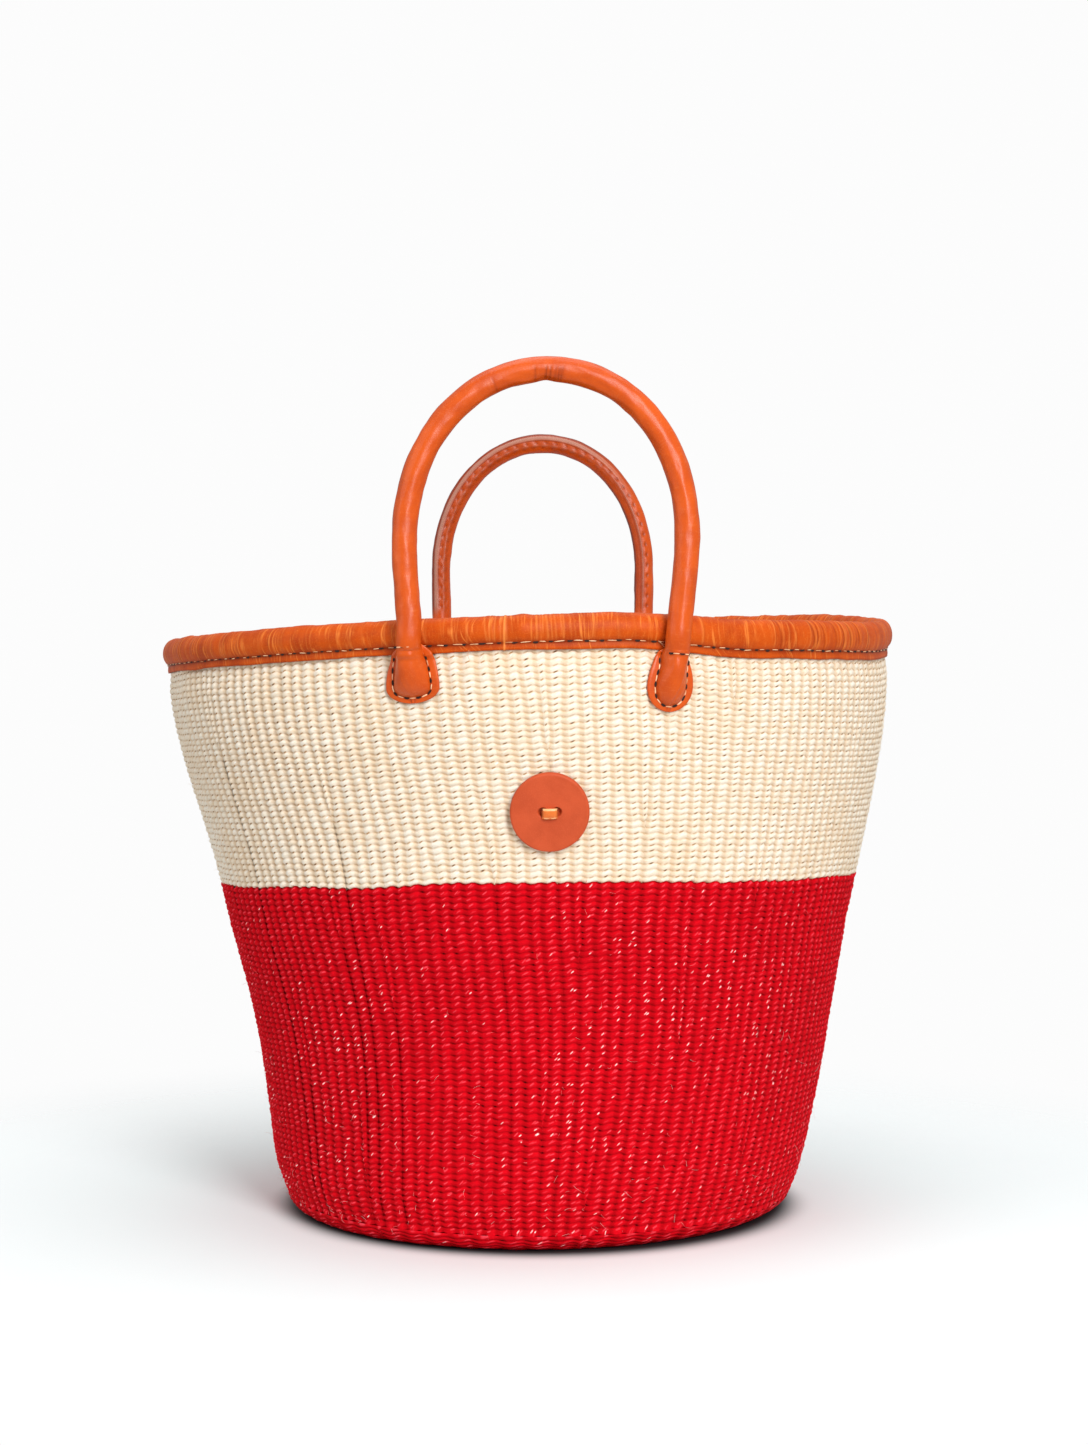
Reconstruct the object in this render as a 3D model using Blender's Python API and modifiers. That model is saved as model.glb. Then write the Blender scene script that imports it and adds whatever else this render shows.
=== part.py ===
"""Kiondo basket: a round sisal tote in two colours, with a leather-bound rim, two rolled leather
handles and a leather button. Metres, +Z up, origin on the floor in the middle of the woven base.
The front, with the button, faces -Y."""

import math

import bmesh
import bpy
from mathutils import Matrix, Vector

OBJECT_NAME = "kiondo_basket"

# Clearances and cuts
GAP = 0.0003
OVERRUN = 0.004
MERGE_DISTANCE = 0.00005
SMALL_STEP = 0.0003

# Facets
RING_STEPS = 52
BUTTON_STEPS = 36
WASHER_STEPS = 20
HOLE_STEPS = 14
EDGE_STEPS = 4
HEEL_OUTER_STEPS = 4
HEEL_INNER_STEPS = 3
WALL_STEPS = 5
ROLL_STEPS = 9
RIM_CORE_STEPS = 9
ARCH_STEPS = 17
LEG_STEPS = 4
LAP_STEPS = 15
BELLY_STEPS = 5
TOE_STEPS = 6
ROPE_END_STEPS = 7
BULGE_STEPS = 9
NECK_STEPS = 4
PATCH_ROWS = 9
PATCH_COLUMNS = 4
KNOT_AROUND = 14
KNOT_RINGS = 8
TUBE_SIDES_RESOLUTION = 3
CORE_SIDES_RESOLUTION = 2
SMOOTH_ANGLE = math.radians(40)
TOE_LAST_ANGLE = math.radians(83)

# Outer line of the woven body, as radius and height from the floor up
FOOT_RADIUS = 0.1340
HEEL_RADIUS = 0.1455
HEEL_HEIGHT = 0.0095
ANKLE_RADIUS = 0.1516
ANKLE_HEIGHT = 0.0265
BELLY_RADIUS = 0.1582
BELLY_HEIGHT = 0.0628
WAIST_RADIUS = 0.1670
WAIST_HEIGHT = 0.1163
COLOUR_RADIUS = 0.1838
COLOUR_HEIGHT = 0.1946
THROAT_RADIUS = 0.2070
THROAT_DROP = 0.0130
LIP_RADIUS = 0.2062
RIM_HEIGHT = 0.3350
WALL_THICKNESS = 0.0045
BASE_RADIUS = 0.1245
BASE_THICKNESS = 0.0045

# Hand-made unevenness of the body: what the rim gains or loses against a true ring
RIM_LEAN = 0.0065
LEAN_START = 0.1900
RIGHT_RISE = 0.0068
REAR_RISE = 0.00575
RIM_BOW = 0.00225
WAIST_BOW = 0.0040
BELLY_SWAY = 0.0024
SWAY_START = 0.0300
SWAY_END = 0.1700

# Leather rim binding and its rope core
LEATHER = 0.0014
ROLL_HEIGHT = 0.0140
FLANGE_HEIGHT = 0.0047
ROLL_OVERHANG = 0.0026
RIM_CORE_HEIGHT = 0.0105

# Handles
HANDLE_RADIUS = 0.0063
HANDLE_HALF_SPAN = {"front": 0.0672, "rear": 0.0678}
HANDLE_OFFSET = {"front": 0.0100, "rear": 0.0084}
ARCH_HALF_WIDTH = {"front": 0.0702, "rear": 0.0684}
ARCH_RISE = 0.1223
ARCH_SKEW = {"front": 0.0020, "rear": 0.0}
ARCH_SHOULDER = 0.0375
ARCH_START = 0.0090
LEG_TUCK = {"front_left": -0.0006, "front_right": 0.0012, "rear_left": 0.0012, "rear_right": 0.0012}
LEG_CURVE_POWER = 1.5
ARCH_POWER = {"front": 0.96, "rear": 0.985}
SEAM_OVERLAP = 0.0040
LAP_RISE_START_SHARE = 1.6
LAP_RISE_END_SHARE = 0.25

# Sewn ends of the handles
TAB_DROP = {"front_left": 0.0185, "front_right": 0.0200, "rear_left": 0.0190, "rear_right": 0.0190}
TAB_LENGTH = {"front_left": 0.0258, "front_right": 0.0310, "rear_left": 0.0285, "rear_right": 0.0285}
TAB_WIDTH = {"front_left": 0.0280, "front_right": 0.0246, "rear_left": 0.0262, "rear_right": 0.0262}
TAB_INWARD = {"front_left": -0.0012, "front_right": 0.0032, "rear_left": 0.0024, "rear_right": 0.0024}
TAB_BELLY_SHARE = {"front_left": 0.68, "front_right": 0.56, "rear_left": 0.62, "rear_right": 0.62}
TAB_TOP_SHARE = {"front_left": 0.62, "front_right": 0.52, "rear_left": 0.56, "rear_right": 0.56}
TAB_FLANGE = 0.0041
TAB_TOE = 0.0031
TAB_RAMP = 0.0030
BULGE_SLUMP_SHARE = 0.45
BULGE_SLUMP_POWER = 1.5
BULGE_END_POWER = 6
BULGE_POWER = 0.8
PATCH_INSET = 0.0020
PATCH_END_SHARE = 0.02

# Button, its lace and its washer
BUTTON_RADIUS = 0.0200
BUTTON_THICKNESS = 0.0032
BUTTON_EDGE = 0.0009
BUTTON_HEIGHT = 0.2317
BUTTON_OFFSET = 0.0071
BUTTON_HOLE_RADIUS = 0.0025
BUTTON_HOLE_PLACE = 0.0033
LACE_THICKNESS = 0.0014
LACE_WIDTH = 0.0040
LACE_ARCH = 0.0006
LACE_TAIL = 0.0100
LACE_GAP = 0.0005
KNOT_HEIGHT = 0.0048
WASHER_RADIUS = 0.0110

# Colours as linear red, green, blue
CREAM = (0.80, 0.69, 0.52)
RED = (0.48, 0.006, 0.022)
ROPE = (0.55, 0.42, 0.26)
LEATHER_ORANGE = (0.62, 0.16, 0.028)
RIM_ORANGE = (0.50, 0.12, 0.022)
TERRACOTTA = (0.55, 0.11, 0.055)


# Helpers for shares
def clamp(share):
    return min(max(share, 0.0), 1.0)


def smooth(share):
    share = clamp(share)
    return share * share * (3.0 - 2.0 * share)


def steps(first, last, count):
    """Evenly spaced values from first to last, both included."""
    return [first + (last - first) * index / (count - 1) for index in range(count)]


# Shape of the woven body
def lip_height():
    """Height of the lower edge of the binding's flange."""
    return RIM_HEIGHT - ROLL_HEIGHT - FLANGE_HEIGHT


def wall_stations():
    return (
        (HEEL_HEIGHT, HEEL_RADIUS),
        (ANKLE_HEIGHT, ANKLE_RADIUS),
        (BELLY_HEIGHT, BELLY_RADIUS),
        (WAIST_HEIGHT, WAIST_RADIUS),
        (COLOUR_HEIGHT, COLOUR_RADIUS),
        (lip_height() - THROAT_DROP, THROAT_RADIUS),
        (lip_height(), LIP_RADIUS),
    )


def station_slopes(stations):
    """Slope of the outer line at each station, as the mean of the runs on both sides of it."""
    runs = []
    for (low, low_radius), (high, high_radius) in zip(stations, stations[1:]):
        runs.append((high_radius - low_radius) / (high - low))
    inner = [(below + above) / 2 for below, above in zip(runs, runs[1:])]
    return [runs[0]] + inner + [runs[-1]]


def wall_radius(height):
    """Outer radius of the woven wall, a smooth line through the stations."""
    stations = wall_stations()
    if height <= stations[0][0]:
        return stations[0][1]
    if height >= stations[-1][0]:
        return stations[-1][1]
    slopes = station_slopes(stations)
    for index in range(len(stations) - 1):
        low, low_radius = stations[index]
        high, high_radius = stations[index + 1]
        if height <= high:
            break
    run = high - low
    share = (height - low) / run
    start_pull = share * (1 - share) ** 2 * slopes[index] * run
    end_pull = share * share * (share - 1) * slopes[index + 1] * run
    return low_radius + (high_radius - low_radius) * smooth(share) + start_pull + end_pull


def lean(height):
    """Sideways shift of the body's middle at a height."""
    sway = clamp((height - SWAY_START) / (SWAY_END - SWAY_START))
    leaning = smooth((height - LEAN_START) / (RIM_HEIGHT - LEAN_START))
    return BELLY_SWAY * math.sin(math.pi * sway) - RIM_LEAN * leaning


def facet_sag(radius):
    """Depth by which the flat facets of a turned piece stay inside its true circle."""
    return radius * (1 - math.cos(math.pi / RING_STEPS))


def uneven(point):
    """Moves a point of a true turned body to its place on the hand-made one."""
    x, y, z = point
    rise = clamp(z / RIM_HEIGHT)
    tilt = rise * (RIGHT_RISE * x + REAR_RISE * y) / LIP_RADIUS
    across = x * x + y * y
    double_cosine = (x * x - y * y) / across if across else 0.0
    bow = RIM_BOW * rise + WAIST_BOW * 4 * rise * (1 - rise)
    return Vector((x + lean(z), y, z + tilt - bow * double_cosine))


def on_body(azimuth, radius, height):
    """World point at an azimuth, radius and height of the uneven body."""
    return uneven((radius * math.cos(azimuth), radius * math.sin(azimuth), height))


# Shape of the rim
def wall_middle():
    return LIP_RADIUS - WALL_THICKNESS / 2


def flange_offset():
    """Distance from the wall's middle to the middle of either flange."""
    return WALL_THICKNESS / 2 + GAP + LEATHER / 2


def roll_half_width():
    """Half the width of the roll, measured to its outer face."""
    return WALL_THICKNESS / 2 + GAP + LEATHER + ROLL_OVERHANG


def roll_radius():
    """Outermost radius of the rim."""
    return wall_middle() + roll_half_width()


def roll_junction():
    """Angle at which the roll's oval runs into the flanges."""
    return math.acos(flange_offset() / (roll_half_width() - LEATHER / 2))


def roll_half_height():
    """Half the height of the roll's oval, measured to the middle of the leather."""
    return (ROLL_HEIGHT - LEATHER / 2) / (1 + math.sin(roll_junction()))


def roll_centre_height():
    return RIM_HEIGHT - LEATHER / 2 - roll_half_height()


def wall_top():
    """Top edge of the woven wall, just under the rope core of the rim."""
    return roll_centre_height() - RIM_CORE_HEIGHT / 2 - GAP


# Scene and materials
def clear_scene():
    for old in list(bpy.data.objects):
        bpy.data.objects.remove(old, do_unlink=True)


def new_collection(name):
    collection = bpy.data.collections.new(name)
    bpy.context.scene.collection.children.link(collection)
    return collection


def new_material(name, colour, roughness, metallic=0.0):
    material = bpy.data.materials.new(name)
    material.use_nodes = True
    shader = material.node_tree.nodes["Principled BSDF"]
    shader.inputs["Base Color"].default_value = (*colour, 1.0)
    shader.inputs["Roughness"].default_value = roughness
    shader.inputs["Metallic"].default_value = metallic
    return material


def new_materials():
    return {
        "cream": new_material("cream_sisal", CREAM, 0.85),
        "red": new_material("red_sisal", RED, 0.80),
        "rope": new_material("rope_core", ROPE, 0.90),
        "handle": new_material("handle_leather", LEATHER_ORANGE, 0.42),
        "rim": new_material("rim_leather", RIM_ORANGE, 0.50),
        "button": new_material("button_leather", TERRACOTTA, 0.62),
        "lace": new_material("lace_leather", LEATHER_ORANGE, 0.38),
    }


def new_object(name, mesh, material, collection, parent=None):
    item = bpy.data.objects.new(name, mesh)
    collection.objects.link(item)
    if material is not None:
        mesh.materials.clear()
        mesh.materials.append(material)
    item.parent = parent
    return item


def new_cutter(name, mesh, collection, parent=None):
    cutter = new_object(name, mesh, None, collection, parent)
    cutter.hide_render = True
    cutter.display_type = "WIRE"
    return cutter


def new_axis(name, frame, collection):
    """Empty on a joint's axis, which carries the pieces that move with it."""
    axis = bpy.data.objects.new(name, None)
    axis.matrix_world = frame
    collection.objects.link(axis)
    return axis


def cut(item, cutter, operation="DIFFERENCE"):
    modifier = item.modifiers.new(cutter.name, "BOOLEAN")
    modifier.operation = operation
    modifier.solver = "EXACT"
    modifier.object = cutter


def smooth_shading(mesh):
    mesh.shade_smooth()
    mesh.set_sharp_from_angle(angle=SMOOTH_ANGLE)


def evaluated_mesh(item):
    """Mesh of an object with its modifiers applied and its doubles welded; the object is removed."""
    bpy.context.view_layer.update()
    depsgraph = bpy.context.evaluated_depsgraph_get()
    mesh = bpy.data.meshes.new_from_object(item.evaluated_get(depsgraph))
    work = bmesh.new()
    work.from_mesh(mesh)
    bmesh.ops.remove_doubles(work, verts=work.verts, dist=MERGE_DISTANCE)
    work.to_mesh(mesh)
    work.free()
    bpy.data.objects.remove(item, do_unlink=True)
    return mesh


# Turned pieces
def turned_mesh(name, outline, closed, collection, turn_steps=RING_STEPS, thickness=0.0):
    """Outline of (radius, height) points turned about Z; an open one gets a thickness."""
    mesh = bpy.data.meshes.new(name)
    points = [(radius, 0.0, height) for radius, height in outline]
    edges = [(index, index + 1) for index in range(len(points) - 1)]
    if closed:
        edges.append((len(points) - 1, 0))
    mesh.from_pydata(points, edges, [])
    item = bpy.data.objects.new(name, mesh)
    collection.objects.link(item)
    screw = item.modifiers.new("turn", "SCREW")
    screw.axis = "Z"
    screw.steps = turn_steps
    screw.render_steps = turn_steps
    screw.use_merge_vertices = True
    screw.merge_threshold = MERGE_DISTANCE
    if thickness:
        shell = item.modifiers.new("thickness", "SOLIDIFY")
        shell.thickness = thickness
        shell.offset = 0.0
        shell.use_even_offset = True
    return evaluated_mesh(item)


def make_uneven(mesh):
    for vertex in mesh.vertices:
        vertex.co = uneven(vertex.co)


def turned_piece(name, outline, material, collection, closed=True, thickness=0.0):
    mesh = turned_mesh(name, outline, closed, collection, thickness=thickness)
    make_uneven(mesh)
    smooth_shading(mesh)
    return new_object(name, mesh, material, collection)


def quarter_turn(first, last, count):
    """Points of a quarter oval from first to last, level at first and upright at last."""
    (first_radius, first_height), (last_radius, last_height) = first, last
    points = []
    for angle in steps(0.0, math.pi / 2, count):
        radius = first_radius + (last_radius - first_radius) * math.sin(angle)
        height = first_height + (last_height - first_height) * (1 - math.cos(angle))
        points.append((radius, height))
    return points


def make_base(materials, collection):
    """Round woven base, flat on the floor."""
    bpy.ops.mesh.primitive_cylinder_add(vertices=RING_STEPS, radius=BASE_RADIUS, depth=BASE_THICKNESS)
    item = bpy.context.object
    for owner in list(item.users_collection):
        owner.objects.unlink(item)
    collection.objects.link(item)
    item.name = "woven_base"
    item.location.z = BASE_THICKNESS / 2
    item.data.materials.append(materials["red"])
    smooth_shading(item.data)


def make_turn_course(materials, collection):
    """Plain band of yarn in which the warps turn from the base into the wall."""
    seat = BASE_RADIUS + GAP
    outer = quarter_turn((FOOT_RADIUS, 0.0), (HEEL_RADIUS, HEEL_HEIGHT), HEEL_OUTER_STEPS)
    inner_top = (HEEL_RADIUS - WALL_THICKNESS, HEEL_HEIGHT)
    inner = quarter_turn((seat, BASE_THICKNESS), inner_top, HEEL_INNER_STEPS)
    outline = outer[::-1] + [(seat, 0.0)] + inner
    turned_piece("base_turn_course", outline, materials["red"], collection)


def wall_heights(low, high, count):
    """Heights from high down to low: even steps, with the wall's own stations among them."""
    stations = [height for height, _ in wall_stations() if low < height < high]
    room = (high - low) / (2 * count)
    even = [height for height in steps(low, high, count)
            if all(abs(height - station) > room for station in stations) or height in (low, high)]
    return sorted(set(even + stations), reverse=True)


def wall_outline(low, high, count):
    """Closed section of the woven wall between two heights."""
    heights = wall_heights(low, high, count)
    outer = [(wall_radius(height), height) for height in heights]
    inner = [(wall_radius(height) - WALL_THICKNESS, height) for height in heights[::-1]]
    return outer + inner


def make_walls(materials, collection):
    """The red and the cream half of the wall; returns the cream one."""
    red_outline = wall_outline(HEEL_HEIGHT + GAP, COLOUR_HEIGHT, WALL_STEPS)
    turned_piece("red_wall", red_outline, materials["red"], collection)
    cream_outline = wall_outline(COLOUR_HEIGHT + GAP, wall_top(), WALL_STEPS)
    return turned_piece("cream_wall", cream_outline, materials["cream"], collection)


def oval(centre, half_width, half_height, angles):
    radius, height = centre
    return [(radius + half_width * math.cos(a), height + half_height * math.sin(a)) for a in angles]


def make_rim(materials, collection):
    """Leather strip folded over the rim, and the rope that fills its roll."""
    centre = (wall_middle(), roll_centre_height())
    junction = roll_junction()
    angles = steps(-junction, math.pi + junction, ROLL_STEPS)
    roll = oval(centre, roll_half_width() - LEATHER / 2, roll_half_height(), angles)
    outer_edge = (wall_middle() + flange_offset(), lip_height())
    inner_edge = (wall_middle() - flange_offset(), lip_height())
    strip = [inner_edge] + roll[::-1] + [outer_edge]
    turned_piece("rim_binding", strip, materials["rim"], collection, closed=False, thickness=LEATHER)

    core_half_width = roll_half_width() - LEATHER - GAP
    turns = steps(math.pi / 2, -3 * math.pi / 2, RIM_CORE_STEPS)[:-1]
    core = oval(centre, core_half_width, RIM_CORE_HEIGHT / 2, turns)
    turned_piece("rim_core", core, materials["rope"], collection)


# Handles
def leg_radius():
    """Radius at which the middle line of a handle's leg passes the rim."""
    return roll_radius() + GAP + HANDLE_RADIUS


def leg_points(side):
    """Where the two legs of a handle cross the rim, in the order that puts its inside at local +Y."""
    sign = -1.0 if side == "front" else 1.0
    points = []
    for half in (-HANDLE_HALF_SPAN[side], HANDLE_HALF_SPAN[side]):
        azimuth = sign * math.acos((HANDLE_OFFSET[side] + half) / leg_radius())
        points.append(on_body(azimuth, leg_radius(), RIM_HEIGHT))
    return points if side == "front" else points[::-1]


def handle_frame(side):
    """Joint frame of a handle: X along its axis, Y to the inside of the basket, Z up."""
    first, last = leg_points(side)
    middle = (first + last) / 2
    along = last - first
    along.z = 0.0
    along.normalize()
    upward = Vector((0.0, 0.0, 1.0))
    inward = upward.cross(along)
    frame = Matrix((along, inward, upward)).transposed().to_4x4()
    frame.translation = middle
    return frame


def half_span(side):
    first, last = leg_points(side)
    return (last - first).xy.length / 2


def leg_reach(side, height):
    """Distance of a leg's middle line from the middle of its handle, up to the shoulder."""
    width = ARCH_HALF_WIDTH[side]
    below = (1 - max(height, 0.0) / ARCH_SHOULDER) ** LEG_CURVE_POWER
    return width - (width - half_span(side)) * below


def leg_point(side, end, height):
    """Point of a leg's middle line in its joint frame; end is +1 or -1."""
    hand = "left" if (end < 0) == (side == "front") else "right"
    tuck = LEG_TUCK[side + "_" + hand] * clamp(-height / ROLL_HEIGHT)
    skew = ARCH_SKEW[side] * max(height, 0.0) / ARCH_RISE
    return Vector((end * (leg_reach(side, height) - tuck) + skew, 0.0, height))


def arch_path(side, start):
    """Middle line of a handle in its joint frame, from one leg over the top to the other."""
    width = ARCH_HALF_WIDTH[side]
    crown = ARCH_RISE - ARCH_SHOULDER
    heights = steps(start, ARCH_SHOULDER, LEG_STEPS)[:-1]
    right = [leg_point(side, 1.0, height) for height in heights]
    left = [leg_point(side, -1.0, height) for height in heights[::-1]]
    top = []
    for angle in steps(0.0, math.pi, ARCH_STEPS):
        across = width * abs(math.cos(angle)) ** ARCH_POWER[side]
        height = ARCH_SHOULDER + crown * abs(math.sin(angle)) ** ARCH_POWER[side]
        skew = ARCH_SKEW[side] * height / ARCH_RISE
        top.append(Vector((math.copysign(across, math.cos(angle)) + skew, 0.0, height)))
    return right + top + left


def poly_curve(name, points):
    curve = bpy.data.curves.new(name, "CURVE")
    curve.dimensions = "3D"
    curve.twist_mode = "MINIMUM"
    spline = curve.splines.new("POLY")
    spline.points.add(len(points) - 1)
    for place, point in zip(spline.points, points):
        place.co = (*point, 1.0)
    return curve


def tube_mesh(name, points, radius, resolution, collection):
    """Round solid tube along a line of points."""
    curve = poly_curve(name, points)
    curve.bevel_depth = radius
    curve.bevel_resolution = resolution
    curve.use_fill_caps = True
    item = bpy.data.objects.new(name, curve)
    collection.objects.link(item)
    mesh = evaluated_mesh(item)
    smooth_shading(mesh)
    return mesh


def rolled_section():
    """Section of the rolled strip: once round the rope, then over its own first edge."""
    radius = HANDLE_RADIUS - LEATHER / 2
    lift = LEATHER + GAP
    lap = SEAM_OVERLAP / HANDLE_RADIUS
    rise_start = 2 * math.pi - LAP_RISE_START_SHARE * lap
    rise_end = 2 * math.pi - LAP_RISE_END_SHARE * lap
    points = []
    for turn in steps(0.0, 2 * math.pi + lap, LAP_STEPS):
        share = smooth((turn - rise_start) / (rise_end - rise_start))
        reach = radius + lift * share
        angle = math.pi / 2 - lap / 2 + turn
        points.append((reach * math.cos(angle), reach * math.sin(angle)))
    return points


def path_direction(path, index):
    before = path[max(index - 1, 0)]
    after = path[min(index + 1, len(path) - 1)]
    return (after - before).normalized()


def rolled_strip_mesh(name, path, section, collection):
    """Sheet swept along a path that lies in the local XZ plane, with the leather's thickness."""
    work = bmesh.new()
    rows = []
    sideways = Vector((0.0, 1.0, 0.0))
    for index, centre in enumerate(path):
        outward = sideways.cross(path_direction(path, index))
        row = [work.verts.new(centre + outward * a + sideways * b) for a, b in section]
        rows.append(row)
    for first, second in zip(rows, rows[1:]):
        for column in range(len(section) - 1):
            corners = (first[column], first[column + 1], second[column + 1], second[column])
            work.faces.new(corners)
    mesh = bpy.data.meshes.new(name)
    work.to_mesh(mesh)
    work.free()
    item = bpy.data.objects.new(name, mesh)
    collection.objects.link(item)
    shell = item.modifiers.new("thickness", "SOLIDIFY")
    shell.thickness = LEATHER
    shell.offset = 0.0
    shell.use_even_offset = True
    solid = evaluated_mesh(item)
    smooth_shading(solid)
    return solid


def make_handle(side, materials, collection):
    """Arch of a handle: a leather strip rolled round a rope, its seam to the basket's inside."""
    axis = new_axis(side + "_handle_axis", handle_frame(side), collection)
    path = arch_path(side, ARCH_START)
    cover_name = side + "_handle_cover"
    cover = rolled_strip_mesh(cover_name, path, rolled_section(), collection)
    new_object(cover_name, cover, materials["handle"], collection, axis)
    core_name = side + "_handle_core"
    core_radius = HANDLE_RADIUS - LEATHER - GAP
    core = tube_mesh(core_name, path, core_radius, CORE_SIDES_RESOLUTION, collection)
    new_object(core_name, core, materials["rope"], collection, axis)


# Sewn ends of the handles
def back_radius(height):
    """Radius of the surface that a tab lies on: the wall, or the flange where it covers that."""
    on_wall = wall_radius(height) + GAP
    on_flange = LIP_RADIUS + GAP + LEATHER + GAP
    share = smooth((height - (lip_height() - GAP - TAB_RAMP)) / TAB_RAMP)
    return on_wall + (max(on_flange, on_wall) - on_wall) * share


def tab_top(corner):
    return RIM_HEIGHT - TAB_DROP[corner]


def leg_side(corner):
    """+1 or -1: which end of the handle's joint frame a corner is at."""
    front, left = corner.startswith("front"), corner.endswith("left")
    return -1.0 if front == left else 1.0


def leg_azimuth(corner, height, radius):
    """Azimuth at which a leg's middle line, drawn straight down past the rim, is at a radius of the body."""
    side = corner.split("_")[0]
    point = handle_frame(side) @ leg_point(side, leg_side(corner), height - RIM_HEIGHT)
    sign = -1.0 if side == "front" else 1.0
    return sign * math.acos((point.x - lean(height)) / radius)


def tab_azimuth(corner):
    top = tab_top(corner)
    return leg_azimuth(corner, top, back_radius(top) + HANDLE_RADIUS)


def tab_inward_sign(corner):
    """Direction in which a rising azimuth leads to the middle of the handle."""
    azimuth = tab_azimuth(corner)
    middle = -math.pi / 2 if corner.startswith("front") else math.pi / 2
    return math.copysign(1.0, middle - azimuth)


def pear_half_width(corner, drop):
    """Half the width of a tab's outline at a distance below its top."""
    length, half = TAB_LENGTH[corner], TAB_WIDTH[corner] / 2
    belly = TAB_BELLY_SHARE[corner] * length
    if drop <= belly:
        swell = math.sin(math.pi / 2 * max(drop, 0.0) / belly)
        return half * (TAB_TOP_SHARE[corner] + (1 - TAB_TOP_SHARE[corner]) * swell)
    return half * math.sqrt(max(1 - ((drop - belly) / (length - belly)) ** 2, 0.0))


def bulge_end(corner):
    return TAB_LENGTH[corner] - TAB_TOE


def bulge_half_width(corner, drop):
    """Half the width of the swelling over the rope end."""
    belly = TAB_BELLY_SHARE[corner] * TAB_LENGTH[corner]
    widest = TAB_WIDTH[corner] / 2 - TAB_FLANGE
    if drop <= belly:
        return max(pear_half_width(corner, drop) - TAB_FLANGE, HANDLE_RADIUS)
    share = clamp((drop - belly) / (bulge_end(corner) - belly))
    return max(widest, HANDLE_RADIUS) * math.sqrt(1 - share * share)


def bulge_height(corner, drop):
    """Height of the swelling over the wall, which falls to nothing at its lower end."""
    share = clamp(drop / bulge_end(corner))
    slump = 1 - BULGE_SLUMP_SHARE * share ** BULGE_SLUMP_POWER
    return 2 * HANDLE_RADIUS * slump * math.sqrt(1 - share ** BULGE_END_POWER)


def tab_point(corner, across, drop, out):
    """World point of a tab, from its distances across, below its top and out from the wall."""
    height = tab_top(corner) - drop
    radius = back_radius(height) + out
    shift = TAB_INWARD[corner] * clamp(drop / TAB_LENGTH[corner]) * tab_inward_sign(corner)
    azimuth = tab_azimuth(corner) + (across + shift) / back_radius(height)
    return on_body(azimuth, radius, height)


def arch_section(half_width, low, high):
    """Arch of points over a base line, as (across, out), from one foot to the other."""
    points = []
    for angle in steps(0.0, math.pi, BULGE_STEPS):
        across = math.copysign(abs(math.cos(angle)) ** BULGE_POWER, math.cos(angle))
        rise = abs(math.sin(angle)) ** BULGE_POWER
        points.append((half_width * across, low + (high - low) * rise))
    return points


def tab_drops(corner):
    """Distances below the top at which a tab has a section."""
    length = TAB_LENGTH[corner]
    belly = TAB_BELLY_SHARE[corner] * length
    upper = steps(0.0, belly, BELLY_STEPS)
    angles = steps(0.0, TOE_LAST_ANGLE, TOE_STEPS)[1:]
    lower = [belly + (length - belly) * math.sin(angle) for angle in angles]
    return sorted(upper + lower + [bulge_end(corner)])


def loft_mesh(name, sections):
    """Closed skin through sections of equal point counts, with flat ends."""
    work = bmesh.new()
    rows = [[work.verts.new(point) for point in section] for section in sections]
    count = len(sections[0])
    for first, second in zip(rows, rows[1:]):
        for column in range(count):
            following = (column + 1) % count
            work.faces.new((first[column], first[following], second[following], second[column]))
    work.faces.new(rows[0][::-1])
    work.faces.new(rows[-1])
    bmesh.ops.recalc_face_normals(work, faces=work.faces)
    mesh = bpy.data.meshes.new(name)
    work.to_mesh(mesh)
    work.free()
    smooth_shading(mesh)
    return mesh


def make_tab(corner, materials, collection, cutters):
    """Pear-shaped leather end of a handle, hollow over the rope end that fills it."""
    sections = []
    for drop in tab_drops(corner):
        half = pear_half_width(corner, drop)
        foot = min(bulge_half_width(corner, drop), half - LEATHER)
        foot = max(foot, LEATHER)
        half = max(half, foot + LEATHER)
        high = max(bulge_height(corner, drop), LEATHER)
        face = arch_section(foot, LEATHER, high)
        outline = [(half, 0.0), (half, LEATHER)] + face + [(-half, LEATHER), (-half, 0.0)]
        sections.append([tab_point(corner, across, drop, out) for across, out in outline])
    name = corner + "_tab"
    tab = new_object(name, loft_mesh(name, sections), materials["handle"], collection)

    hollow_name = corner + "_tab_hollow"
    drops = [-OVERRUN] + rope_drops(corner)
    hollow = rope_end_mesh(hollow_name, corner, drops, LEATHER, 0.0, OVERRUN)
    cut(tab, new_cutter(hollow_name, hollow, cutters))


def rope_drops(corner):
    """Distances below a tab's top at which the rope end inside it has a section."""
    return steps(0.0, bulge_end(corner) - 2 * LEATHER, ROPE_END_STEPS)


def rope_end_mesh(name, corner, drops, inset, low, depth=0.0):
    """Flattened end of a handle's rope: the tab's swelling less an inset, and drawn back by a depth."""
    sections = []
    for drop in drops:
        half = bulge_half_width(corner, drop) - inset
        high = bulge_height(corner, drop) - inset
        section = arch_section(half, low, high)
        if depth:
            section = [(half, low - depth)] + section + [(-half, low - depth)]
        sections.append([tab_point(corner, across, drop, out) for across, out in section])
    return loft_mesh(name, sections)


def make_rope_end(corner, materials, collection):
    name = corner + "_rope_end"
    drops = rope_drops(corner)
    drops[-1] -= GAP
    mesh = rope_end_mesh(name, corner, drops, LEATHER + GAP, GAP)
    new_object(name, mesh, materials["rope"], collection)


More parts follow.
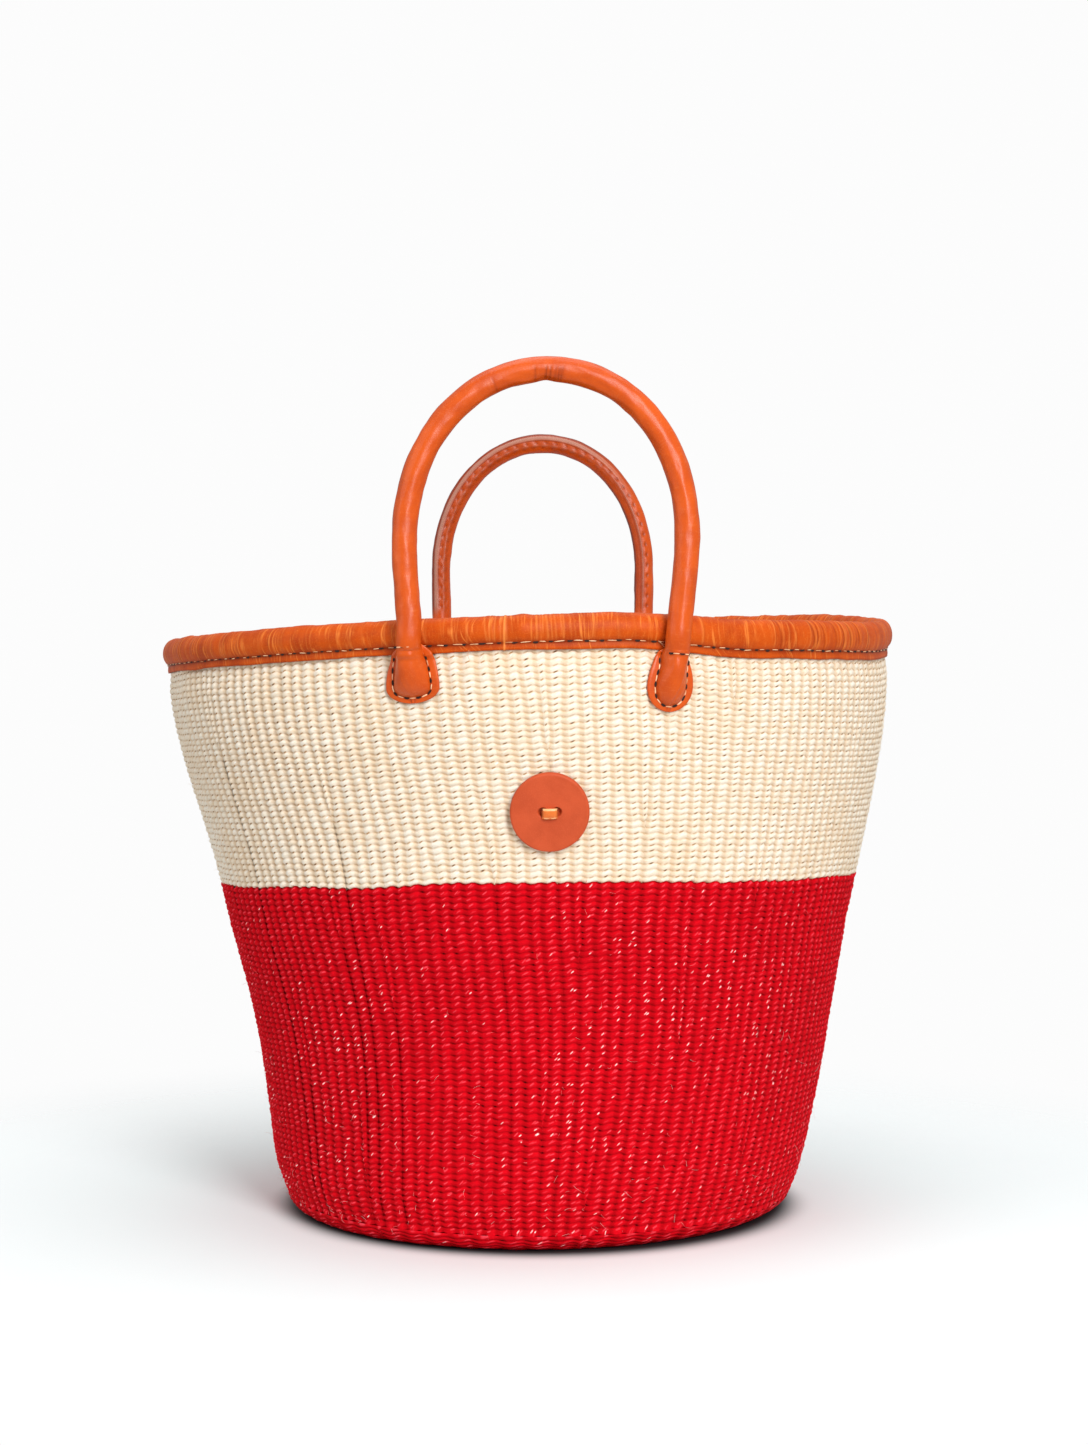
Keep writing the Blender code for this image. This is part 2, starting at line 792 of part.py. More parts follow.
def neck_radius(height):
    """Least radius at which a leg's middle line clears the roll, the flange and the wall."""
    clear = GAP + HANDLE_RADIUS
    depth = (roll_centre_height() - height) / (roll_half_height() + LEATHER / 2 + clear)
    past_roll = wall_middle() + (roll_half_width() + clear) * math.sqrt(max(1 - depth * depth, 0.0))
    return max(past_roll, back_radius(height) + HANDLE_RADIUS)


def neck_path(corner):
    """Middle line of a neck, from the top of its tab round the roll to the start of the arch."""
    side = corner.split("_")[0]
    foot_height = tab_top(corner) + GAP
    foot = on_body(tab_azimuth(corner), back_radius(tab_top(corner)) + HANDLE_RADIUS, foot_height)
    points = [foot, foot + Vector((0.0, 0.0, HANDLE_RADIUS / 6))]
    for height in steps(foot_height + HANDLE_RADIUS / 2, roll_centre_height(), NECK_STEPS):
        radius = neck_radius(height)
        points.append(on_body(leg_azimuth(corner, height, radius), radius, height))
    frame = handle_frame(side)
    for height in steps(-ROLL_HEIGHT / 6, ARCH_START - GAP, NECK_STEPS):
        points.append(frame @ leg_point(side, leg_side(corner), height))
    return points


def make_neck(corner, materials, collection):
    """Short length of covered rope that bends over the rim when its handle folds."""
    points = neck_path(corner)
    name = corner + "_neck"
    mesh = tube_mesh(name, points, HANDLE_RADIUS, TUBE_SIDES_RESOLUTION, collection)
    new_object(name, mesh, materials["handle"], collection)


def facet_radius(height):
    """Outer radius of the cream wall's own flat facets at a height."""
    heights = wall_heights(COLOUR_HEIGHT + GAP, wall_top(), WALL_STEPS)
    for high, low in zip(heights, heights[1:]):
        if height >= low:
            break
    share = (height - low) / (high - low)
    return wall_radius(low) + (wall_radius(high) - wall_radius(low)) * share


def make_backing_patch(corner, materials, collection):
    """Leather patch inside the wall, which the tab's thread is sewn through."""
    top = min(tab_top(corner), lip_height()) - GAP
    length = TAB_LENGTH[corner] - PATCH_INSET
    sections = []
    for share in steps(PATCH_END_SHARE, 1 - PATCH_END_SHARE, PATCH_ROWS):
        drop = share * TAB_LENGTH[corner]
        half = pear_half_width(corner, drop) - PATCH_INSET
        half = max(half, PATCH_INSET)
        height = top - share * length
        wall = facet_radius(height) - WALL_THICKNESS
        inner = wall - facet_sag(wall) - GAP
        outer_side = [(across, inner) for across in steps(-half, half, PATCH_COLUMNS)]
        inner_side = [(across, inner - LEATHER) for across in steps(half, -half, PATCH_COLUMNS)]
        middle = tab_azimuth(corner)
        section = [on_body(middle + across / inner, radius, height)
                   for across, radius in outer_side + inner_side]
        sections.append(section)
    name = corner + "_backing_patch"
    new_object(name, loft_mesh(name, sections), materials["rim"], collection)


# Button
def button_frame():
    """Joint frame of the button: X across, Y up along the wall, Z out of the wall."""
    radius = wall_radius(BUTTON_HEIGHT)
    azimuth = -math.acos(BUTTON_OFFSET / radius)
    origin = on_body(azimuth, radius, BUTTON_HEIGHT)
    across = on_body(azimuth + SMALL_STEP / radius, radius, BUTTON_HEIGHT) - origin
    above = BUTTON_HEIGHT + SMALL_STEP
    up = on_body(azimuth, wall_radius(above), above) - origin
    across.normalize()
    out = across.cross(up).normalized()
    up = out.cross(across)
    frame = Matrix((across, up, out)).transposed().to_4x4()
    frame.translation = origin
    return frame


def lace_hole_radius():
    """Radius of the round gap that the lace's two legs need in the wall and in the washer."""
    reach = BUTTON_HOLE_PLACE + LACE_THICKNESS / 2
    return math.hypot(reach, LACE_WIDTH / 2) + LACE_GAP


def washer_top():
    """Height of the washer's outer face in the button's frame; the wall is hollow towards it."""
    radius = wall_radius(BUTTON_HEIGHT)
    hollow = WASHER_RADIUS ** 2 / (2 * (radius - WALL_THICKNESS))
    return -(WALL_THICKNESS + hollow + facet_sag(radius) + GAP)


def round_cutter(name, radius, low, high, centre, collection, parent):
    work = bmesh.new()
    bmesh.ops.create_cone(work, cap_ends=True, segments=HOLE_STEPS, radius1=radius, radius2=radius,
                          depth=high - low)
    bmesh.ops.translate(work, verts=work.verts, vec=(*centre, (high + low) / 2))
    mesh = bpy.data.meshes.new(name)
    work.to_mesh(mesh)
    work.free()
    return new_cutter(name, mesh, collection, parent)


def flat_turned_mesh(name, outline, collection, turn_steps):
    """Turned disc or ring in its own frame, away from the body's unevenness."""
    mesh = turned_mesh(name, outline, outline[0][0] > 0.0, collection, turn_steps)
    smooth_shading(mesh)
    return mesh


def make_button(axis, materials, collection, cutters):
    """Round leather disc with two holes for the lace."""
    back, face = GAP, GAP + BUTTON_THICKNESS
    rounding = [(BUTTON_RADIUS - BUTTON_EDGE + BUTTON_EDGE * math.sin(angle),
                 face - BUTTON_EDGE + BUTTON_EDGE * math.cos(angle))
                for angle in steps(0.0, math.pi / 2, EDGE_STEPS)]
    outline = [(0.0, face)] + rounding + [(BUTTON_RADIUS, back), (0.0, back)]
    mesh = flat_turned_mesh("button", outline, collection, BUTTON_STEPS)
    button = new_object("button", mesh, materials["button"], collection, axis)
    for label, place in (("left", -BUTTON_HOLE_PLACE), ("right", BUTTON_HOLE_PLACE)):
        cutter = round_cutter("button_hole_" + label, BUTTON_HOLE_RADIUS, back - OVERRUN,
                              face + OVERRUN, (place, 0.0), cutters, axis)
        cut(button, cutter)


def make_washer(axis, materials, collection):
    """Leather washer inside the wall, which spreads the pull of the lace."""
    top = washer_top()
    hole = lace_hole_radius()
    outline = [(WASHER_RADIUS, top), (WASHER_RADIUS, top - LEATHER), (hole, top - LEATHER), (hole, top)]
    mesh = flat_turned_mesh("button_washer", outline, collection, WASHER_STEPS)
    new_object("button_washer", mesh, materials["rim"], collection, axis)


def lace_outline():
    """Half of the lace's side view, from the top of its bridge down a leg to the tail and back."""
    half = LACE_THICKNESS / 2
    outer, inner = BUTTON_HOLE_PLACE + half, BUTTON_HOLE_PLACE - half
    face = GAP + BUTTON_THICKNESS
    rest = face + GAP
    crown = rest + LACE_THICKNESS + LACE_ARCH
    tail_top = washer_top() - LEATHER - GAP - KNOT_HEIGHT / 2 + half
    tip = outer + LACE_TAIL
    return [
        (0.0, crown),
        (BUTTON_HOLE_PLACE, crown - LACE_ARCH),
        (outer, rest + half),
        (outer, tail_top),
        (tip, tail_top - half),
        (tip, tail_top - half - LACE_THICKNESS),
        (inner, tail_top - LACE_THICKNESS),
        (inner, face - half),
        (inner - half, rest),
        (0.0, rest),
    ]


def make_lace(axis, materials, collection, cutters):
    """Flat lace that bridges the button's holes and is knotted behind the washer."""
    half = lace_outline()
    mirrored = [(-x, z) for x, z in half[-2:0:-1]]
    curve = bpy.data.curves.new("button_lace_outline", "CURVE")
    curve.dimensions = "2D"
    curve.fill_mode = "BOTH"
    curve.extrude = LACE_WIDTH / 2
    spline = curve.splines.new("POLY")
    outline = half + mirrored
    spline.points.add(len(outline) - 1)
    for place, (x, z) in zip(spline.points, outline):
        place.co = (x, z, 0.0, 1.0)
    spline.use_cyclic_u = True
    item = bpy.data.objects.new("button_lace_outline", curve)
    collection.objects.link(item)
    mesh = evaluated_mesh(item)
    mesh.transform(Matrix.Rotation(math.pi / 2, 4, "X"))
    lace = new_object("button_lace", mesh, materials["lace"], collection, axis)

    work = bmesh.new()
    bmesh.ops.create_uvsphere(work, u_segments=KNOT_AROUND, v_segments=KNOT_RINGS,
                              radius=KNOT_HEIGHT / 2)
    widen = (BUTTON_HOLE_PLACE + LACE_THICKNESS + LACE_GAP) / (KNOT_HEIGHT / 2)
    deepen = (LACE_WIDTH / 2 + LACE_THICKNESS) / (KNOT_HEIGHT / 2)
    bmesh.ops.scale(work, verts=work.verts, vec=(widen, deepen, 1.0))
    centre = washer_top() - LEATHER - GAP - KNOT_HEIGHT / 2
    bmesh.ops.translate(work, verts=work.verts, vec=(0.0, 0.0, centre))
    knot = bpy.data.meshes.new("button_lace_knot")
    work.to_mesh(knot)
    work.free()
    cut(lace, new_cutter("button_lace_knot", knot, cutters, axis), "UNION")


def make_button_group(cream_wall, materials, collection, cutters):
    axis = new_axis("button_axis", button_frame(), collection)
    make_button(axis, materials, collection, cutters)
    make_washer(axis, materials, collection)
    make_lace(axis, materials, collection, cutters)
    low = washer_top() - OVERRUN
    hole = round_cutter("lace_gap", lace_hole_radius(), low, OVERRUN, (0.0, 0.0), cutters, axis)
    cut(cream_wall, hole)


def main():
    clear_scene()
    parts = new_collection(OBJECT_NAME)
    cutters = new_collection("cutters")
    materials = new_materials()
    make_base(materials, parts)
    make_turn_course(materials, parts)
    cream_wall = make_walls(materials, parts)
    make_rim(materials, parts)
    for side in ("front", "rear"):
        make_handle(side, materials, parts)
        for hand in ("left", "right"):
            corner = side + "_" + hand
            make_tab(corner, materials, parts, cutters)
            make_rope_end(corner, materials, parts)
            make_neck(corner, materials, parts)
            make_backing_patch(corner, materials, parts)
    make_button_group(cream_wall, materials, parts, cutters)


main()
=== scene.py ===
"""Looks of the kiondo basket: woven sisal, leather rim, handles, sewn ends, button and thread, built
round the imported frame. Metres, +Z up, the front faces -Y."""

import math

import bpy
import numpy as np
from mathutils import Matrix, Vector


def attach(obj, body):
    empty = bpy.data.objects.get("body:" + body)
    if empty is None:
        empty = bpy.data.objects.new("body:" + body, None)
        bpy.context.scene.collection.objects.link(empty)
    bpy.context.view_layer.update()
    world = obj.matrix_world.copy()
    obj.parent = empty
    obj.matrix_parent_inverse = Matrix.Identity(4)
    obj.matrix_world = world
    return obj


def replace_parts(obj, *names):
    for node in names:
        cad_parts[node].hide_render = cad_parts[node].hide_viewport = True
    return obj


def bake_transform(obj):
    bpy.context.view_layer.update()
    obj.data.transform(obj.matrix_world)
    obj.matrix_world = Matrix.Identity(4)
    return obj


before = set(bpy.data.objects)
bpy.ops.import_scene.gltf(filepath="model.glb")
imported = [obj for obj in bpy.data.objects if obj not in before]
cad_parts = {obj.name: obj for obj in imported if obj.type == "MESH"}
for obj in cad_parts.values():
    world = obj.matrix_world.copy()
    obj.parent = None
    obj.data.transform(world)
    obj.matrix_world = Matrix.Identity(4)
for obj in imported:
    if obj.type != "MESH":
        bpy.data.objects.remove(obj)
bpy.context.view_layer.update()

# Sizes of the frame, as in the part's source
GAP = 0.0003
HEEL_RADIUS = 0.1455
HEEL_HEIGHT = 0.0095
FOOT_RADIUS = 0.1340
BASE_RADIUS = 0.1245
BASE_THICKNESS = 0.0045
COLOUR_HEIGHT = 0.1946
LIP_RADIUS = 0.2062
RIM_HEIGHT = 0.3350
SETTLE_START = 0.2150
RIGHT_DIP = 0.0058
REAR_LIFT = 0.0044
WALL_THICKNESS = 0.0045
WALL_STATIONS = (
    (HEEL_HEIGHT, HEEL_RADIUS),
    (0.0265, 0.1516),
    (0.0628, 0.1582),
    (0.1163, 0.1670),
    (COLOUR_HEIGHT, 0.1838),
    (0.3033, 0.2070),
    (0.3163, LIP_RADIUS),
)
RIM_LEAN = 0.0065
LEAN_START = 0.1900
RIGHT_RISE = 0.0068
REAR_RISE = 0.00575
RIM_BOW = 0.00225
WAIST_BOW = 0.0040
BELLY_SWAY = 0.0024
SWAY_START = 0.0300
SWAY_END = 0.1700
LEATHER = 0.0014
ROLL_HEIGHT = 0.0140
FLANGE_HEIGHT = 0.0047
ROLL_OVERHANG = 0.0026
HANDLE_RADIUS = 0.0063
HANDLE_HALF_SPAN = {"front": 0.0672, "rear": 0.0678}
HANDLE_OFFSET = {"front": 0.0100, "rear": 0.0084}
ARCH_HALF_WIDTH = {"front": 0.0702, "rear": 0.0684}
ARCH_RISE = 0.1223
ARCH_SKEW = {"front": 0.0020, "rear": 0.0}
ARCH_SHOULDER = 0.0375
ARCH_START = 0.0090
LEG_TUCK = {"front_left": -0.0006, "front_right": 0.0012, "rear_left": 0.0012, "rear_right": 0.0012}
LEG_CURVE_POWER = 1.5
ARCH_POWER = {"front": 0.96, "rear": 0.985}
TAB_DROP = {"front_left": 0.0185, "front_right": 0.0200, "rear_left": 0.0190, "rear_right": 0.0190}
TAB_LENGTH = {"front_left": 0.0258, "front_right": 0.0310, "rear_left": 0.0285, "rear_right": 0.0285}
TAB_WIDTH = {"front_left": 0.0280, "front_right": 0.0246, "rear_left": 0.0262, "rear_right": 0.0262}
TAB_INWARD = {"front_left": -0.0012, "front_right": 0.0032, "rear_left": 0.0024, "rear_right": 0.0024}
TAB_BELLY_SHARE = {"front_left": 0.68, "front_right": 0.56, "rear_left": 0.62, "rear_right": 0.62}
TAB_TOP_SHARE = {"front_left": 0.62, "front_right": 0.52, "rear_left": 0.56, "rear_right": 0.56}
TAB_FLANGE = 0.0041
TAB_TOE = 0.0031
TAB_RAMP = 0.0030
BUTTON_RADIUS = 0.0200
BUTTON_THICKNESS = 0.0032
BUTTON_HEIGHT = 0.2317
BUTTON_OFFSET = 0.0071
BUTTON_HOLE_RADIUS = 0.0025
BUTTON_HOLE_PLACE = 0.0033
LACE_THICKNESS = 0.0014
LACE_ARCH = 0.0006

# Weave
RIB_PITCH = 0.0074
ROW_PITCH = 0.0033
CREST_LIFT = 0.00025
RIB_DEPTH = 0.0009
STITCH_DEPTH = 0.0011
SLANT_SHARE = 0.13
ARCH_SHARE = 0.16
BACK = -1.5 * math.pi

# Sewing
RIM_STITCH_PITCH = 0.0086
TAB_STITCH_PITCH = 0.0066
THREAD_RADIUS = {"rim": 0.00025, "tab": 0.00034}
SLOT_LENGTH = 0.0031
SLOT_WIDTH = 0.0013
SEW_INSET = 0.0005
RIM_ROPE_RADIUS = 0.0038
TAB_SHOULDER_SHARE = 0.14
TAB_SHOULDER_RISE = {"front_left": 0.0063, "front_right": 0.0035, "rear_left": 0.0035, "rear_right": 0.0035}
SEAM_RISE = {"front_left": 0.0043, "front_right": 0.0, "rear_left": 0.0, "rear_right": 0.0}
LAP_PLACE = (-math.pi / 2 - 0.0503 - BACK) * LIP_RADIUS

# Handles
HANDLE_STEP = 0.0007
SEAM_PITCH = 0.0068
SECTION = 64


# Numbers and noise
def smooth(share):
    share = np.clip(share, 0.0, 1.0)
    return share * share * (3.0 - 2.0 * share)


def noise(x, y, seed, around=256):
    """Smooth noise from -1 to 1 on a lattice of unit cells, which repeats after so many cells in x."""
    table = np.random.default_rng(seed).uniform(-1.0, 1.0, (around, 256))
    column, row = np.floor(x).astype(int), np.floor(y).astype(int)
    across, up = smooth(x - column), smooth(y - row)
    left, right = column % around, (column + 1) % around
    low, high = row % 256, (row + 1) % 256
    bottom = table[left, low] * (1 - across) + table[right, low] * across
    top = table[left, high] * (1 - across) + table[right, high] * across
    return bottom * (1 - up) + top * up


# Shape of the body
def wall_radius(height):
    """Outer radius of the woven wall at an array of heights."""
    heights = np.array([station[0] for station in WALL_STATIONS])
    radii = np.array([station[1] for station in WALL_STATIONS])
    runs = np.diff(radii) / np.diff(heights)
    slopes = np.concatenate(([runs[0]], (runs[:-1] + runs[1:]) / 2, [runs[-1]]))
    height = np.clip(height, heights[0], heights[-1])
    index = np.clip(np.searchsorted(heights, height, side="right") - 1, 0, len(runs) - 1)
    run = heights[index + 1] - heights[index]
    share = (height - heights[index]) / run
    pull = share * (1 - share) ** 2 * slopes[index] * run
    pull = pull + share * share * (share - 1) * slopes[index + 1] * run
    return radii[index] + (radii[index + 1] - radii[index]) * smooth(share) + pull


def lean(height):
    sway = np.clip((height - SWAY_START) / (SWAY_END - SWAY_START), 0.0, 1.0)
    leaning = smooth((height - LEAN_START) / (RIM_HEIGHT - LEAN_START))
    return BELLY_SWAY * np.sin(math.pi * sway) - RIM_LEAN * leaning


def on_body(azimuth, radius, height):
    """World points of the uneven body, as an array with x, y, z last."""
    x, y = radius * np.cos(azimuth), radius * np.sin(azimuth)
    rise = np.clip(height / RIM_HEIGHT, 0.0, 1.0)
    tilt = rise * (RIGHT_RISE * x + REAR_RISE * y) / LIP_RADIUS
    bow = RIM_BOW * rise + WAIST_BOW * 4 * rise * (1 - rise)
    z = height + tilt - bow * np.cos(2 * azimuth)
    return np.stack(np.broadcast_arrays(x + lean(height), y, z - settling(azimuth, height)), -1)


def settling(azimuth, height):
    """How far the soft rim has dipped right of the front right tab, and risen behind that."""
    dip = RIGHT_DIP * smooth((azimuth + 1.36) / 0.4) * smooth((0.15 - azimuth) / 0.65)
    dip = dip - REAR_LIFT * smooth(azimuth / 0.5) * smooth((1.36 - azimuth) / 0.3)
    low, high = lip_height(), RIM_HEIGHT
    share = smooth((height - SETTLE_START) / (low - SETTLE_START))
    return dip * share * (1 - 0.25 * smooth((height - low) / (high - low)))


def flange_offset():
    return WALL_THICKNESS / 2 + GAP + LEATHER / 2


def lip_height():
    return RIM_HEIGHT - ROLL_HEIGHT - FLANGE_HEIGHT


def wall_middle():
    return LIP_RADIUS - WALL_THICKNESS / 2


def roll_half_width():
    return WALL_THICKNESS / 2 + GAP + LEATHER + ROLL_OVERHANG


def roll_junction():
    return math.acos(flange_offset() / (roll_half_width() - LEATHER / 2))


def roll_half_height():
    return (ROLL_HEIGHT - LEATHER / 2) / (1 + math.sin(roll_junction()))


def roll_centre_height():
    return RIM_HEIGHT - LEATHER / 2 - roll_half_height()


def leg_radius():
    return wall_middle() + roll_half_width() + GAP + HANDLE_RADIUS


# Meshes from grids of points
def grid_mesh(name, points, maps, keep=None, wrap=False):
    """Mesh through a grid of points; maps are named grids of face-corner coordinates."""
    rows, columns = points.shape[0] - 1, points.shape[1] - 1
    row, column = np.meshgrid(np.arange(rows), np.arange(columns), indexing="ij")
    if keep is not None:
        row, column = row[keep], column[keep]
    row, column = row.ravel(), column.ravel()
    corner_rows = np.stack((row, row, row + 1, row + 1), 1)
    corner_columns = np.stack((column, column + 1, column + 1, column), 1)
    places = corner_columns % columns if wrap else corner_columns
    used, faces = np.unique(corner_rows * (columns + 1) + places, return_inverse=True)
    faces = faces.reshape(-1, 4)
    mesh = bpy.data.meshes.new(name)
    mesh.vertices.add(len(used))
    mesh.vertices.foreach_set("co", points.reshape(-1, 3)[used].astype(np.float32).ravel())
    mesh.loops.add(faces.size)
    mesh.loops.foreach_set("vertex_index", faces.astype(np.int32).ravel())
    mesh.polygons.add(len(faces))
    mesh.polygons.foreach_set("loop_start", np.arange(0, faces.size, 4, dtype=np.int32))
    mesh.update(calc_edges=True)
    bake = np.stack(np.meshgrid(np.linspace(0.002, 0.998, rows + 1),
                                np.linspace(0.002, 0.998, columns + 1), indexing="ij")[::-1], -1)
    for label, grid in {"OFBake": bake, **maps}.items():
        layer = mesh.uv_layers.new(name=label)
        values = grid[corner_rows, corner_columns].reshape(-1, 2)
        layer.data.foreach_set("uv", values.astype(np.float32).ravel())
    mesh.shade_smooth()
    return mesh


def new_piece(name, mesh, material, body="root"):
    item = bpy.data.objects.new(name, mesh)
    bpy.context.scene.collection.objects.link(item)
    mesh.materials.clear()
    mesh.materials.append(material)
    if body:
        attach(item, body)
    return item


# Materials
class Shader:
    """Short calls for the nodes of one material."""

    def __init__(self, name):
        self.material = bpy.data.materials.new(name)
        self.material.use_nodes = True
        self.tree = self.material.node_tree
        self.surface = self.tree.nodes["Principled BSDF"]

    def node(self, kind, **values):
        item = self.tree.nodes.new(kind)
        for key, value in values.items():
            setattr(item, key, value)
        return item

    def put(self, socket, value):
        if isinstance(value, bpy.types.NodeSocket):
            self.tree.links.new(value, socket)
        elif isinstance(value, tuple) and len(value) == 3 and socket.type == "RGBA":
            socket.default_value = (*value, 1.0)
        else:
            socket.default_value = value

    def math(self, operation, first, second=0.0, third=0.0, clamp=False):
        item = self.node("ShaderNodeMath", operation=operation, use_clamp=clamp)
        for socket, value in zip(item.inputs, (first, second, third)):
            self.put(socket, value)
        return item.outputs[0]

    def ramp(self, value, low, high):
        """0 below low, 1 above high and a smooth rise between; low may be the larger."""
        item = self.node("ShaderNodeMapRange", interpolation_type="SMOOTHSTEP")
        flip = low > high
        for socket, number in zip(item.inputs, (value, min(low, high), max(low, high), float(flip), float(not flip))):
            self.put(socket, number)
        return item.outputs[0]

    def mix(self, share, first, second, blend="MIX"):
        item = self.node("ShaderNodeMix", data_type="RGBA", blend_type=blend)
        self.put(item.inputs[0], share)
        self.put(item.inputs[6], first)
        self.put(item.inputs[7], second)
        return item.outputs[2]

    def uv(self, label):
        item = self.node("ShaderNodeUVMap", uv_map=label)
        parts = self.node("ShaderNodeSeparateXYZ")
        self.put(parts.inputs[0], item.outputs[0])
        return parts.outputs[0], parts.outputs[1]

    def vector(self, x, y, z=0.0):
        item = self.node("ShaderNodeCombineXYZ")
        for socket, value in zip(item.inputs, (x, y, z)):
            self.put(socket, value)
        return item.outputs[0]

    def place(self):
        return self.node("ShaderNodeTexCoord").outputs["Object"]

    def noise(self, vector, scale, detail=2.0, roughness=0.5):
        item = self.node("ShaderNodeTexNoise")
        self.put(item.inputs["Vector"], vector)
        self.put(item.inputs["Scale"], scale)
        self.put(item.inputs["Detail"], detail)
        self.put(item.inputs["Roughness"], roughness)
        return item.outputs["Fac"]

    def chance(self, vector):
        item = self.node("ShaderNodeTexWhiteNoise")
        self.put(item.inputs["Vector"], vector)
        return item.outputs["Value"]

    def bump(self, height, distance, strength=1.0):
        item = self.node("ShaderNodeBump")
        self.put(item.inputs["Height"], height)
        self.put(item.inputs["Distance"], distance)
        self.put(item.inputs["Strength"], strength)
        self.put(self.surface.inputs["Normal"], item.outputs[0])

    def finish(self, colour, roughness, **values):
        self.put(self.surface.inputs["Base Color"], colour)
        self.put(self.surface.inputs["Roughness"], roughness)
        for label, value in values.items():
            self.put(self.surface.inputs[label.replace("_", " ")], value)
        return self.material


